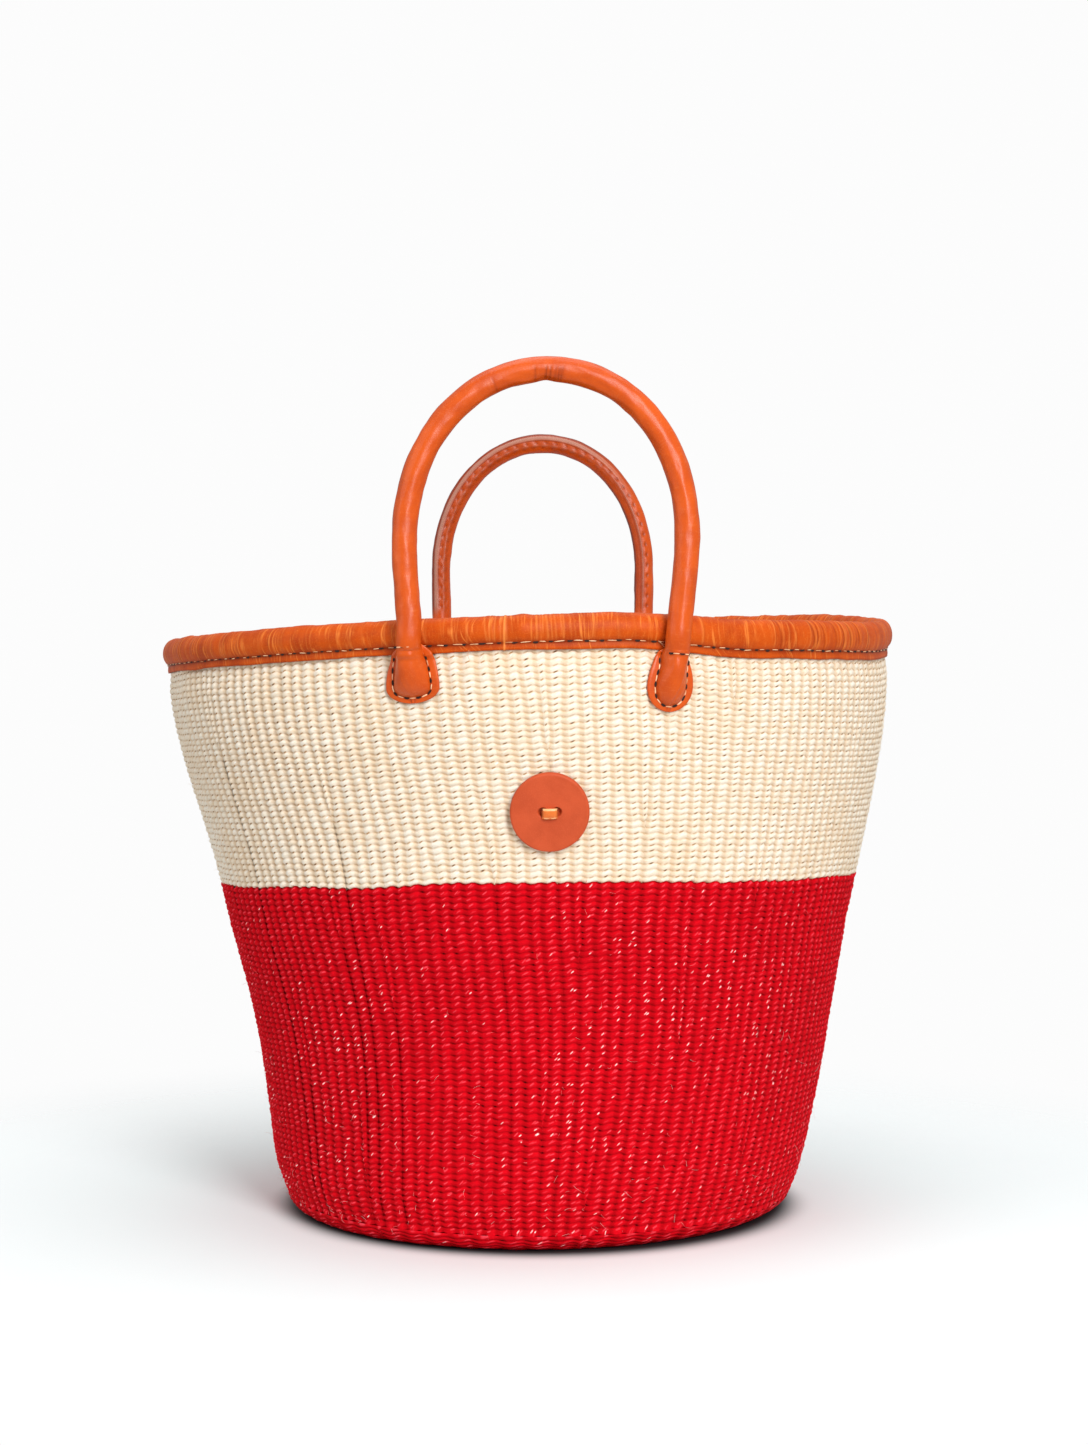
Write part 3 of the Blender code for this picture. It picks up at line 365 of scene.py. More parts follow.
def sisal_material(name, tones, shares, pit_place):
    """Twisted sisal yarn; its map counts ribs across and rows up. The pits lie on the row lines, at their own place
    across a rib. Painted shade darkens the valleys between the ribs, the row lines and the pits; the strokes and
    glints on the stitches are painted highlights."""
    crest, patch, painted_valley_shade, line, painted_pit_shade, painted_highlight, glint = tones
    painted_valley_shade_share, painted_line_shade_share, painted_pit_shade_share, painted_highlight_share, glint_share = shares
    shader = Shader(name)
    across, up = shader.uv("weave")
    inside_rib = shader.math("FRACT", across)
    inside_row = shader.math("FRACT", up)
    rib, row = shader.math("FLOOR", across), shader.math("FLOOR", up)
    raised = shader.math("ADD", up, 0.5)
    from_line = shader.math("SUBTRACT", shader.math("FRACT", raised), 0.5)
    moved = shader.math("ADD", across, 0.5 - pit_place)
    spot_key = shader.vector(shader.math("FLOOR", moved), shader.math("FLOOR", raised), 23.0)
    tone = shader.chance(shader.vector(rib, row, 3.0))
    other = shader.chance(shader.vector(rib, row, 11.0))
    third = shader.chance(shader.vector(rib, row, 17.0))
    hollow = shader.chance(spot_key)
    fibres = shader.noise(shader.vector(shader.math("MULTIPLY", across, 1.6), shader.math("MULTIPLY", up, 5.0)), 2.2, 4.0, 0.65)
    grain = shader.noise(shader.vector(shader.math("MULTIPLY", across, 2.2), shader.math("MULTIPLY", up, 1.6)), 2.4, 3.0, 0.7)
    wander = shader.math("MULTIPLY", shader.math("SUBTRACT", grain, 0.5), 0.5)
    from_middle = shader.math("ABSOLUTE", shader.math("SUBTRACT", inside_rib, 0.5))
    low = shader.ramp(shader.math("ADD", from_middle, wander), 0.20, 0.44)
    groove = shader.ramp(shader.math("ADD", shader.math("ABSOLUTE", from_line), wander), 0.24, 0.04)
    patches = shader.ramp(shader.noise(shader.place(), 26.0, 3.0), 0.42, 0.72)
    colour = shader.mix(shader.math("MULTIPLY", shader.ramp(tone, 0.3, 1.0), 0.5), crest, patch)
    colour = shader.mix(shader.math("MULTIPLY", patches, 0.4), colour, patch)
    colour = shader.mix(shader.math("MULTIPLY", shader.ramp(grain, 0.48, 0.72), 0.55), colour, patch)
    colour = shader.mix(shader.math("MULTIPLY", shader.ramp(fibres, 0.50, 0.62), 0.45), colour, patch)
    # Painted shade: the valleys between the ribs take the darker valley tone
    colour = shader.mix(shader.math("MULTIPLY", low, painted_valley_shade_share), colour, painted_valley_shade)
    # Painted shade along the row lines, in the line tone
    reach = shader.math("ADD", shader.math("MULTIPLY", low, 0.5), 0.5)
    reach = shader.math("MULTIPLY", shader.math("MULTIPLY", groove, reach), painted_line_shade_share)
    colour = shader.mix(reach, colour, line)
    cluster = shader.ramp(shader.noise(shader.place(), 15.0, 2.0), 0.50, 0.66)
    # Painted highlights: a stroke on each stitch, and rare glints in clusters
    for first, second, turn, power in ((third, other, tone, 1.0), (tone, third, other, 0.7)):
        x = shader.math("SUBTRACT", inside_rib, shader.math("ADD", shader.math("MULTIPLY", first, 0.4), 0.33))
        y = shader.math("SUBTRACT", inside_row, shader.math("ADD", shader.math("MULTIPLY", second, 0.3), 0.42))
        x, y = shader.math("MULTIPLY", x, RIB_PITCH * 1000), shader.math("MULTIPLY", y, ROW_PITCH * 1000)
        lean = shader.math("ADD", shader.math("MULTIPLY", turn, 0.5), 0.15)
        along = shader.math("ADD", shader.math("MULTIPLY", x, 0.9), shader.math("MULTIPLY", y, 0.44))
        along = shader.math("ABSOLUTE", along)
        beside = shader.math("SUBTRACT", shader.math("MULTIPLY", y, 0.9), shader.math("MULTIPLY", x, lean))
        beside = shader.math("ABSOLUTE", beside)
        mark = shader.math("MULTIPLY", shader.ramp(along, 1.5, 0.5), shader.ramp(beside, 0.5, 0.12))
        strength = shader.math("MULTIPLY", shader.ramp(second, 0.0, 0.8), painted_highlight_share * power)
        colour = shader.mix(shader.math("MULTIPLY", mark, strength), colour, painted_highlight)
        mark = shader.math("MULTIPLY", shader.ramp(along, 0.95, 0.4), shader.ramp(beside, 0.38, 0.16))
        often = shader.math("MULTIPLY", shader.math("ADD", shader.math("MULTIPLY", cluster, 3.0), 0.4), glint_share * power)
        rare = shader.math("GREATER_THAN", turn, shader.math("SUBTRACT", 1.0, often))
        rare = shader.math("MULTIPLY", rare, shader.math("ADD", shader.math("MULTIPLY", first, 0.6), 0.4))
        colour = shader.mix(shader.math("MULTIPLY", mark, rare), colour, glint)
    # Painted shade: a dark dash on the row line at the pits' place, with a painted dark core
    x = shader.math("MULTIPLY", shader.math("SUBTRACT", shader.math("FRACT", moved), 0.5), RIB_PITCH * 1000)
    y = shader.math("MULTIPLY", from_line, ROW_PITCH * 1000)
    along = shader.math("ADD", x, shader.math("MULTIPLY", y, 0.1))
    beside = shader.math("SUBTRACT", y, shader.math("MULTIPLY", x, 0.1))
    spot = shader.math("MULTIPLY", shader.ramp(shader.math("ABSOLUTE", along), 1.5, 0.6),
                       shader.ramp(shader.math("ABSOLUTE", beside), 0.55, 0.15))
    strength = shader.math("MULTIPLY", shader.ramp(hollow, 0.0, 0.6), painted_pit_shade_share)
    colour = shader.mix(shader.math("MULTIPLY", spot, strength), colour, line)
    core = shader.math("MULTIPLY", shader.ramp(shader.math("ABSOLUTE", along), 0.75, 0.3), spot)
    colour = shader.mix(shader.math("MULTIPLY", core, shader.ramp(hollow, 0.62, 1.0)), colour, painted_pit_shade)
    height = shader.math("ADD", fibres, shader.math("MULTIPLY", grain, 0.5))
    shader.bump(height, 0.0006, 0.8)
    return shader.finish(colour, 0.8, Specular_IOR_Level=0.05)


def leather_material(name, tones, gloss, specular, crease_share=0.0, arc_share=0.0, strip_middle=1.0):
    """Vegetable-tanned leather; its map is in metres along and across the strip. Creases are paler, and the fine arcs
    are bent across half of the strip. The crease map's first value paints paler marks, partly painted highlights; its
    second value is painted shade."""
    base, dark, light, crease_tone = tones
    shader = Shader(name)
    along, across = shader.uv("skin")
    place = shader.vector(along, across)
    clouds = shader.noise(place, 60.0, 4.0, 0.6)
    grain = shader.noise(place, 1400.0, 3.0, 0.6)
    streaks = shader.noise(shader.vector(along, shader.math("MULTIPLY", across, 0.2)), 700.0, 4.0, 0.65)
    colour = shader.mix(shader.ramp(clouds, 0.35, 0.7), base, dark)
    colour = shader.mix(shader.math("MULTIPLY", shader.ramp(grain, 0.5, 0.8), 0.3), colour, light)
    height = shader.math("ADD", grain, shader.math("MULTIPLY", streaks, 0.6))
    if arc_share:
        side = shader.math("ABSOLUTE", shader.math("SUBTRACT", across, strip_middle))
        rise = shader.math("SUBTRACT", 1.0, shader.math("MULTIPLY", side, 1.25 / strip_middle))
        belly = shader.math("MULTIPLY", shader.math("MULTIPLY", rise, shader.math("SUBTRACT", 1.0, rise)), 4.0)
        sway = shader.math("SUBTRACT", shader.noise(shader.vector(along, 0.0), 30.0, 1.0), 0.42)
        bent = shader.math("ADD", along, shader.math("MULTIPLY", shader.math("MULTIPLY", belly, sway), 0.016))
        arcs = shader.noise(shader.vector(bent, shader.math("MULTIPLY", across, 0.05)), 800.0, 2.0, 0.5)
        where = shader.ramp(shader.noise(place, 70.0, 2.0), 0.42, 0.6)
        arcs = shader.math("MULTIPLY", shader.ramp(arcs, 0.52, 0.66), where)
        colour = shader.mix(shader.math("MULTIPLY", arcs, arc_share), colour, light)
        height = shader.math("ADD", height, arcs)
    if crease_share:
        crease, seam = shader.uv("crease")
        colour = shader.mix(shader.math("MULTIPLY", shader.ramp(streaks, 0.55, 0.72), 0.25), colour, light)
        colour = shader.mix(shader.math("MULTIPLY", crease, crease_share), colour, crease_tone)
        # Painted shade from the crease map's second value: seam shadows, and shade in creases, dents and holes
        colour = shader.mix(shader.math("MULTIPLY", seam, 0.8), colour, (0.12, 0.009, 0.002))
    shader.bump(height, 0.00012, 0.6)
    rough = shader.math("ADD", gloss, shader.math("MULTIPLY", clouds, 0.15))
    return shader.finish(colour, rough, Specular_IOR_Level=specular)


def plain_material(name, base, dark, roughness, scale=900.0):
    """Thread, rope or the painted shade of a hole, with a little grain."""
    shader = Shader(name)
    grain = shader.noise(shader.place(), scale, 3.0, 0.6)
    shader.bump(grain, 0.0001, 0.5)
    return shader.finish(shader.mix(shader.ramp(grain, 0.35, 0.7), base, dark), roughness)


def new_materials():
    middle = float(rim_section()[1][-1]) / 2
    return {
        # Yarn tones: crest, patch, painted valley shade, painted line shade, painted shade of the pits, painted
        # highlight and glint; then the shares of the last five, and the place of the pits across a rib
        "cream": sisal_material("cream_yarn", (
            (0.96, 0.88, 0.75), (0.88, 0.70, 0.50), (0.80, 0.57, 0.35), (0.52, 0.28, 0.11), (0.15, 0.07, 0.027),
            (0.97, 0.92, 0.84), (0.98, 0.945, 0.885)), (0.62, 0.55, 1.0, 0.5, 0.03), 0.46),
        "red": sisal_material("red_yarn", (
            (0.74, 0.002, 0.010), (0.58, 0.001, 0.007), (0.44, 0.0007, 0.004), (0.24, 0.0005, 0.002), (0.03, 0.0004, 0.001),
            (0.92, 0.065, 0.095), (1.0, 0.80, 0.76)), (0.7, 0.75, 0.8, 0.85, 0.07), 0.02),
        "handle": leather_material("handle_skin", (
            (0.62, 0.084, 0.004), (0.52, 0.062, 0.003), (0.74, 0.20, 0.055), (0.38, 0.195, 0.145)), 0.27, 0.3, 0.85),
        "rim": leather_material("rim_skin", (
            (0.57, 0.077, 0.003), (0.42, 0.046, 0.002), (0.88, 0.26, 0.045), (0.88, 0.30, 0.065)), 0.4, 0.12, 0.8, 0.55, middle),
        "button": leather_material("button_skin", (
            (0.56, 0.076, 0.019), (0.48, 0.060, 0.013), (0.66, 0.13, 0.05), (0.66, 0.13, 0.05)), 0.5, 0.3),
        "lace": leather_material("lace_skin", (
            (0.74, 0.17, 0.02), (0.58, 0.10, 0.012), (0.90, 0.38, 0.15), (1.0, 0.55, 0.24)), 0.25, 0.5, 0.8),
        "thread": plain_material("waxed_thread", (0.95, 0.62, 0.36), (0.55, 0.19, 0.06), 0.35, 110.0),
        # The dark of the stitch holes is painted shade
        "hole": plain_material("stitch_hole_painted_shade", (0.012, 0.004, 0.002), (0.03, 0.008, 0.004), 0.9),
        "rope": plain_material("rope_yarn", (0.55, 0.42, 0.26), (0.42, 0.30, 0.18), 0.9, 300.0),
        "cream_hair": plain_material("cream_hair", (0.95, 0.88, 0.76), (0.78, 0.62, 0.42), 0.7),
        "red_hair": plain_material("red_hair", (0.80, 0.06, 0.08), (0.90, 0.45, 0.42), 0.7, 220.0),
        "long_hair": plain_material("long_hair", (0.72, 0.50, 0.48), (0.55, 0.30, 0.29), 0.7, 220.0),
    }


# Weave
def rib_edges(rows, radii, pitch, growth, seed):
    """Shares of the full turn at which the ribs begin, one line of them for each place in rows.
    New ribs begin as thin wedges where the body widens, between two that make room over a longer way."""
    random = np.random.default_rng(seed)
    wanted = 2 * math.pi * radii / pitch
    first, last = int(round(wanted[0])), int(round(wanted[-1]))
    added = np.arange(last - first)
    births = np.interp(first + added + 0.5, wanted, rows) + random.uniform(-1.5, 1.5, len(added))
    keys = (np.arange(first) + 0.5) / first
    new_keys = (0.31 + added * 0.6180339 + random.uniform(-0.02, 0.02, len(added))) % 1.0
    order = np.argsort(np.concatenate((keys, new_keys)))
    births = np.concatenate((np.full(first, -1000.0), births))[order]
    room = smooth((rows[:, None] - births) / growth + 0.4)
    shown = smooth((rows[:, None] - births) / 5.0) * np.maximum(room, 0.55)
    spare = (room - shown) / 2
    width = shown + np.roll(spare, 1, 1) + np.roll(spare, -1, 1)
    edges = np.concatenate((np.zeros((len(rows), 1)), np.cumsum(width, 1)), 1)
    edges = edges / edges[:, -1:]
    index = np.arange(1, last)
    waver = noise(index[None] * 5.3, rows[:, None] / 7.0 + index[None] * 3.1, seed)
    thin = np.minimum(edges[:, 1:-1] - edges[:, :-2], edges[:, 2:] - edges[:, 1:-1])
    edges[:, 1:-1] += 0.14 * np.maximum(thin, 0.0) * waver
    return edges


def weave_grid(profile, first_row, samples, seed, pitch=RIB_PITCH, row_pitch=ROW_PITCH, outward=1.0,
               rib_depth=RIB_DEPTH, stitch_depth=STITCH_DEPTH, slant=SLANT_SHARE, arch=ARCH_SHARE, growth=50.0,
               deep_row=None, soft=(False, False), shape=on_body):
    """Grid of points of a woven surface along a profile of (radius, height) rows, and its map. A soft
    first or last row has no groove at its outer side."""
    per_rib, per_row = samples
    lengths = np.concatenate(([0.0], np.cumsum(np.hypot(*np.diff(profile, axis=0).T))))
    count = int(round(lengths[-1] / row_pitch))
    place = np.arange(count * per_row + 1) / per_row
    scale = lengths[-1] / count
    radii = np.interp(place * scale, lengths, profile[:, 0])
    edges = rib_edges(place, radii, pitch, growth, seed)
    ribs = edges.shape[1] - 1
    column = np.arange(ribs * per_rib + 1)
    rib, across = np.minimum(column // per_rib, ribs - 1), (column % per_rib) / per_rib
    across[-1] = 1.0
    share = edges[:, rib] + (edges[:, rib + 1] - edges[:, rib]) * across
    azimuth = BACK + 2 * math.pi * share
    random = np.random.default_rng(seed + 1)
    stitch = np.minimum(place.astype(int), count - 1)
    size = random.uniform(0.65, 1.15, (count, ribs))[stitch][:, rib]
    lines = random.normal(0.0, 0.07, (count + 1, ribs))
    lines[0], lines[-1] = 0.0, 0.0
    low = np.floor(place).astype(int)
    high = np.minimum(low + 1, count)
    part = (place - low)[:, None]
    shift = lines[low] * (1 - part) + lines[high] * part
    hump = (0.5 - 0.5 * np.cos(2 * math.pi * across)) ** 0.7
    inner = smooth(place / 1.5) * smooth((count - place) / 1.5)
    tilt = arch * (hump - 0.5) - slant * np.sin(2 * math.pi * across)
    rise = shift[:, rib] * hump + tilt[None] * inner[:, None]
    drift = 0.35 * noise(share * 24, place[:, None] / 14.0, seed + 2, 24) * inner[:, None]
    along = np.clip((place[:, None] + rise + drift) * scale, 0.0, lengths[-1])
    bead = 1 - np.abs(2 * (place - low) - 1) ** 2.4
    bead[-1] = 0.0
    chart_place = place.copy()
    if soft[0]:
        bead[place < 0.5] = 1.0
        chart_place = np.maximum(chart_place, 0.4)
    if soft[1]:
        bead[place > count - 0.5] = 1.0
        chart_place = np.minimum(chart_place, count - 0.4)
    width = np.diff(edges, axis=1)
    grown = smooth((width / np.maximum(np.median(width, 1), 1e-6)[:, None] - 0.1) / 0.4)[:, rib]
    bead = 1 - (1 - bead[:, None] * size) * grown
    stronger = 1.0
    if deep_row is not None:
        stronger = 1 + 1.0 * (np.abs(place - deep_row) < 0.3)[:, None]
    left = 1.25 - 0.65 * np.cos(azimuth)
    upper = smooth((np.interp(place * scale, lengths, profile[:, 1]) - COLOUR_HEIGHT) / 0.004 + 0.5)[:, None]
    left = left * upper + (1.05 - 0.35 * np.cos(azimuth)) * (1 - upper)
    depth = rib_depth * left * (hump[None] * grown - 1)
    depth = depth + stitch_depth * stronger * (bead - 1) * (0.85 + 0.05 * hump[None])
    depth = outward * (depth + CREST_LIFT)
    slope = np.gradient(profile, lengths, axis=0)
    slope = slope / np.hypot(slope[:, 0], slope[:, 1])[:, None]
    out_radius = np.interp(along, lengths, slope[:, 1])
    out_height = -np.interp(along, lengths, slope[:, 0])
    radius = np.interp(along, lengths, profile[:, 0]) + depth * out_radius
    height = np.interp(along, lengths, profile[:, 1]) + depth * out_height
    points = shape(azimuth, radius, height)
    inside = np.where(across < 0.5, across * grown, 1 - (1 - across) * grown)
    weave = np.stack(np.broadcast_arrays(rib + inside, chart_place[:, None] + first_row), -1)
    wide = (edges[:, 1:] - edges[:, :-1]) > 0.02 / ribs
    keep = (wide[1:] | wide[:-1])[:, rib[:-1]]
    return points, weave, keep, per_rib, count * per_row


def weave_pieces(name, grid, rows, count, material, nodes, flip=False):
    """Cuts a woven grid into pieces of equal width, and hides the given CAD nodes whose place they take."""
    points, weave, keep, per_rib, _ = grid
    low, high = rows
    ribs = (points.shape[1] - 1) // per_rib
    edges = [round(ribs * index / count) * per_rib for index in range(count + 1)]
    pieces = []
    for index, (left, right) in enumerate(zip(edges, edges[1:])):
        window = (slice(low, high + 1), slice(left, right + 1))
        part, chart = points[window], weave[window]
        shown = keep[low:high, left:right]
        if flip:
            part, chart, shown = part[:, ::-1], chart[:, ::-1], shown[:, ::-1]
        label = name + "_" + str(index + 1)
        mesh = grid_mesh(label, part, {"weave": chart}, shown)
        pieces.append(new_piece(label, mesh, material))
    if nodes:
        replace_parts(pieces[0], *nodes)
    return pieces


def wall_profile(inset, low, high):
    heights = np.linspace(low, high, 160)
    return np.stack((wall_radius(heights) - inset, heights), 1)


def make_walls(materials):
    outer = wall_profile(0.0, HEEL_HEIGHT, lip_height() + FLANGE_HEIGHT)
    lengths = np.concatenate(([0.0], np.cumsum(np.hypot(*np.diff(outer, axis=0).T))))
    rows = int(round(lengths[-1] / ROW_PITCH))
    boundary = round(np.interp(COLOUR_HEIGHT, outer[:, 1], lengths) / lengths[-1] * rows)
    per_row = 4
    grid = weave_grid(outer, 0, (5, per_row), 11, deep_row=boundary, soft=(True, False))
    weave_pieces("red_weave", grid, (0, boundary * per_row), 4, materials["red"], ["red_wall"])
    weave_pieces("cream_weave", grid, (boundary * per_row, grid[4]), 3, materials["cream"], ["cream_wall"])
    inner = wall_profile(WALL_THICKNESS, HEEL_HEIGHT, lip_height() + FLANGE_HEIGHT)
    grid = weave_grid(inner, 0, (4, 2), 12, outward=-1.0, rib_depth=0.0009, stitch_depth=0.0008)
    boundary = round(boundary * grid[4] / (rows * 2)) * 2
    weave_pieces("red_lining", grid, (0, boundary), 2, materials["red"], [], flip=True)
    weave_pieces("cream_lining", grid, (boundary, grid[4]), 2, materials["cream"], [], flip=True)


def flat_shape(azimuth, radius, height):
    return np.stack(np.broadcast_arrays(radius * np.cos(azimuth), radius * np.sin(azimuth), height), -1)


def foot_shape(azimuth, radius, height):
    """The body, with the turn course tucked in a little towards the floor, and more so at the right."""
    low = np.clip(1 - height / HEEL_HEIGHT, 0.0, 1.0)
    beyond = low * smooth((radius - BASE_RADIUS) / 0.006)
    tuck = 0.0003 + 0.0047 * smooth(0.2 + 0.8 * np.cos(azimuth + 0.5))
    return on_body(azimuth, radius - tuck * beyond, height)


def make_base(materials):
    """Upper and lower face of the woven base, and the turn course round it."""
    radii = np.linspace(0.0035, BASE_RADIUS, 80)
    top = np.stack((radii, np.full_like(radii, BASE_THICKNESS)), 1)
    low = np.stack((radii, np.full_like(radii, CREST_LIFT)), 1)
    grid = weave_grid(top, 0, (4, 2), 21, outward=-1.0, rib_depth=0.0008, stitch_depth=0.0007, growth=9.0)
    weave_pieces("base_inside", grid, (0, grid[4]), 1, materials["red"], ["woven_base"], flip=True)
    grid = weave_grid(low, 0, (4, 2), 22, rib_depth=0.0008, stitch_depth=0.0007, growth=9.0)
    weave_pieces("base_underside", grid, (0, grid[4]), 1, materials["red"], [])
    turns = np.linspace(0.0, math.pi / 2, 24)
    outer = np.stack((FOOT_RADIUS + (HEEL_RADIUS - FOOT_RADIUS) * np.sin(turns),
                      CREST_LIFT + (HEEL_HEIGHT - CREST_LIFT) * (1 - np.cos(turns))), 1)
    outer = np.concatenate(([[BASE_RADIUS, CREST_LIFT]], outer))
    grid = weave_grid(outer, 0, (12, 6), 23, pitch=0.0125, row_pitch=0.0027, rib_depth=0.0002, stitch_depth=0.0011, slant=0.3,
                      arch=0.0, soft=(True, True), shape=foot_shape)
    weave_pieces("turn_course", grid, (0, grid[4]), 1, materials["red"], ["base_turn_course"])
    inner = np.stack((BASE_RADIUS + (HEEL_RADIUS - WALL_THICKNESS - BASE_RADIUS) * np.sin(turns),
                      BASE_THICKNESS + (HEEL_HEIGHT - BASE_THICKNESS) * (1 - np.cos(turns))), 1)
    grid = weave_grid(inner, 0, (6, 4), 24, pitch=0.016, row_pitch=0.0021, outward=-1.0, rib_depth=0.0003, stitch_depth=0.0009, slant=0.5)
    weave_pieces("turn_course_inside", grid, (0, grid[4]), 1, materials["red"], [], flip=True)


# Rim
def rim_section():
    """Outer line of the binding from the foot of its outer flange over the roll to the inner one, as
    points across the wall and their heights, evenly spaced."""
    angles = np.linspace(-roll_junction(), math.pi + roll_junction(), 60)
    half_width, half_height = roll_half_width(), roll_half_height() + LEATHER / 2
    roll = np.stack((half_width * np.cos(angles), roll_centre_height() + half_height * np.sin(angles)), 1)
    face = flange_offset() + LEATHER / 2
    outer = [(face - LEATHER, lip_height()), (face - LEATHER / 3, lip_height() - LEATHER / 4), (face, lip_height() + LEATHER / 3)]
    inner = [(-across, height) for across, height in outer[::-1]]
    line = np.concatenate((outer, roll, inner))
    lengths = np.concatenate(([0.0], np.cumsum(np.hypot(*np.diff(line, axis=0).T))))
    even = np.linspace(0.0, lengths[-1], 36)
    return np.stack((np.interp(even, lengths, line[:, 0]), np.interp(even, lengths, line[:, 1])), 1), even


def fold_marks(along, across, middle, seed, spacing, width, slope=-0.0006):
    """Fine folds that cross the strip, each bent in its own way: 1 on a fold, 0 between."""
    random = np.random.default_rng(seed)
    marks = np.zeros_like(along)
    share = (across - middle) / middle
    place = 0.0
    while place < along.max():
        place += spacing * random.exponential() + spacing * 0.25
        bend, bow = random.normal(slope, 0.0012), random.normal(0.0014, 0.0016)
        group = float(noise(np.array([place / 0.028]), np.array([0.5]), seed + 7)[0])
        strength, size = random.uniform(0.3, 1.0) * min(max(0.65 + 1.1 * group, 0.12), 1.0), width * random.uniform(0.6, 1.4)
        near = np.abs(along[0] - place) < 0.012
        line = place + bend * share[:, near] + bow * share[:, near] ** 2
        reach = smooth((1.15 - np.abs(share[:, near] - random.uniform(-0.5, 0.5))) * 3)
        mark = strength * reach * np.exp(-((along[:, near] - line) / size) ** 2)
        marks[:, near] = np.maximum(marks[:, near], mark)
    return marks


def make_rim(materials):
    section, lengths = rim_section()
    columns = 2800
    azimuth = BACK + 2 * math.pi * np.arange(columns + 1) / columns
    around = (azimuth - BACK) * LIP_RADIUS
    tangent = np.gradient(section, lengths, axis=0)
    tangent = tangent / np.hypot(tangent[:, 0], tangent[:, 1])[:, None]
    normal = np.stack((tangent[:, 1], -tangent[:, 0]), 1)
    u, v = np.meshgrid(around, lengths)
    turn = u / around[-1]
    middle = lengths[-1] / 2
    seam = FLANGE_HEIGHT + LEATHER / 2
    broad = fold_marks(u, v * 0.6 + middle * 0.4, middle, 31, 0.0085, 0.00042)
    fine = fold_marks(u, v, middle, 32, 0.0036, 0.00034)
    on_roll = smooth((section[:, 1] - roll_centre_height() + roll_half_height() * 0.9) / 0.002)[:, None]
    dents = noise(turn * 300, v / 0.013, 35, 300)
    gather = noise(turn * 150, v / 0.030, 34, 150)
    right = smooth((azimuth + 1.12) / 0.05) * smooth((0.1 - azimuth) / 0.1)
    creases = fold_marks(u, v, middle, 33, 0.0125, 0.0006, -0.0020) * right
    fine = fine * (1 - 0.7 * right)
    lap = np.exp(-((u - LAP_PLACE - 0.0006 * v / middle) / 0.0005) ** 2) * (v < middle * 1.4)
    swell = np.exp(-((u - LAP_PLACE - 0.009) / 0.004) ** 2)
    depth = 0.00022 * broad - 0.00016 * fine - 0.0005 * creases + 0.00018 * dents + 0.00032 * gather + 0.0007 * swell
    depth = on_roll * depth + 0.0003 * lap
    wave = 0.0004 * noise(turn * 90, v * 0, 36, 90) * smooth(1 - (section[:, 1] - lip_height()) / 0.004)[:, None]
    across = section[:, 0][:, None] + depth * normal[:, 0][:, None]
    height = section[:, 1][:, None] + depth * normal[:, 1][:, None] + wave
    points = on_body(azimuth[None], wall_middle() + across, height)
    # Painted shadow along the stitch rows in the corners under the roll, outside and inside
    painted_seam_shadows = [np.exp(-((lengths - place) / 0.0011) ** 2) for place in (seam, lengths[-1] - seam)]
    # Painted shade: the seam shadows, shade beside the broad folds and in the creases at the right
    dark = (painted_seam_shadows[0] + painted_seam_shadows[1])[:, None] * (1 - lap) + (0.35 * np.roll(broad, 2, 1) + 0.8 * creases) * on_roll
    # Paler fold lines, and painted highlights beside the creases at the right
    pale = np.maximum(np.maximum(fine * 0.5, broad * 0.85), np.roll(creases, 3, 1) * 0.6) * on_roll
    # The lap joint's raised edge is painted paler as a highlight
    marks = np.stack((np.maximum(pale, lap), dark), -1)
    maps = {"skin": np.stack((u, v), -1), "crease": marks}
    half = columns // 2
    for index, label in enumerate(("rim_skin_left", "rim_skin_right")):
        window = (slice(None, None), slice(index * half, (index + 1) * half + 1))
        mesh = grid_mesh(label, points[window], {key: grid[window] for key, grid in maps.items()})
        piece = new_piece(label, mesh, materials["rim"])
        if index == 0:
            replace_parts(piece, "rim_binding")
    angle = np.linspace(0.0, 2 * math.pi, 13)[:, None]
    along = azimuth[None, ::4]
    radius = wall_middle() + RIM_ROPE_RADIUS * np.cos(angle)
    height = roll_centre_height() + RIM_ROPE_RADIUS * (0.4 + np.sin(angle))
    rope = grid_mesh("rim_rope", on_body(along, radius, height), {})
    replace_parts(new_piece("rim_rope", rope, materials["rope"]), "rim_core")


# Thread
def capsule(length, radius, sides=8, rings=3):
    """Points of a thread's stitch along X, bowed a little out along Z, and its faces."""
    places = np.linspace(-0.5, 0.5, 2 * rings + 3)
    thick = np.sqrt(np.clip(1 - np.abs(2 * places) ** 3.2, 0.0, 1.0))
    turns = np.arange(sides) * 2 * math.pi / sides
    x = np.repeat(places * length, sides)
    y = (thick[:, None] * np.cos(turns)).ravel() * radius
    z = (thick[:, None] * np.sin(turns)).ravel() * radius - np.repeat(np.abs(2 * places) ** 2, sides) * radius * 0.9
    faces = []
    for ring in range(len(places) - 1):
        for side in range(sides):
            following = (side + 1) % sides
            faces.append((ring * sides + side, ring * sides + following, (ring + 1) * sides + following, (ring + 1) * sides + side))
    return np.stack((x, y, z), 1), np.array(faces)


def oval(length, width, sides=10):
    """Painted shade of a stitch hole: a dark shallow cone in its own plane."""
    turns = np.arange(sides) * 2 * math.pi / sides
    ring = np.stack((np.cos(turns) * length / 2, np.sin(turns) * width / 2, turns * 0), 1)
    points = np.concatenate((ring, [[0.0, 0.0, 0.0001]]))
    faces = [(side, (side + 1) % sides, sides, sides) for side in range(sides)]
    return points, np.array(faces)


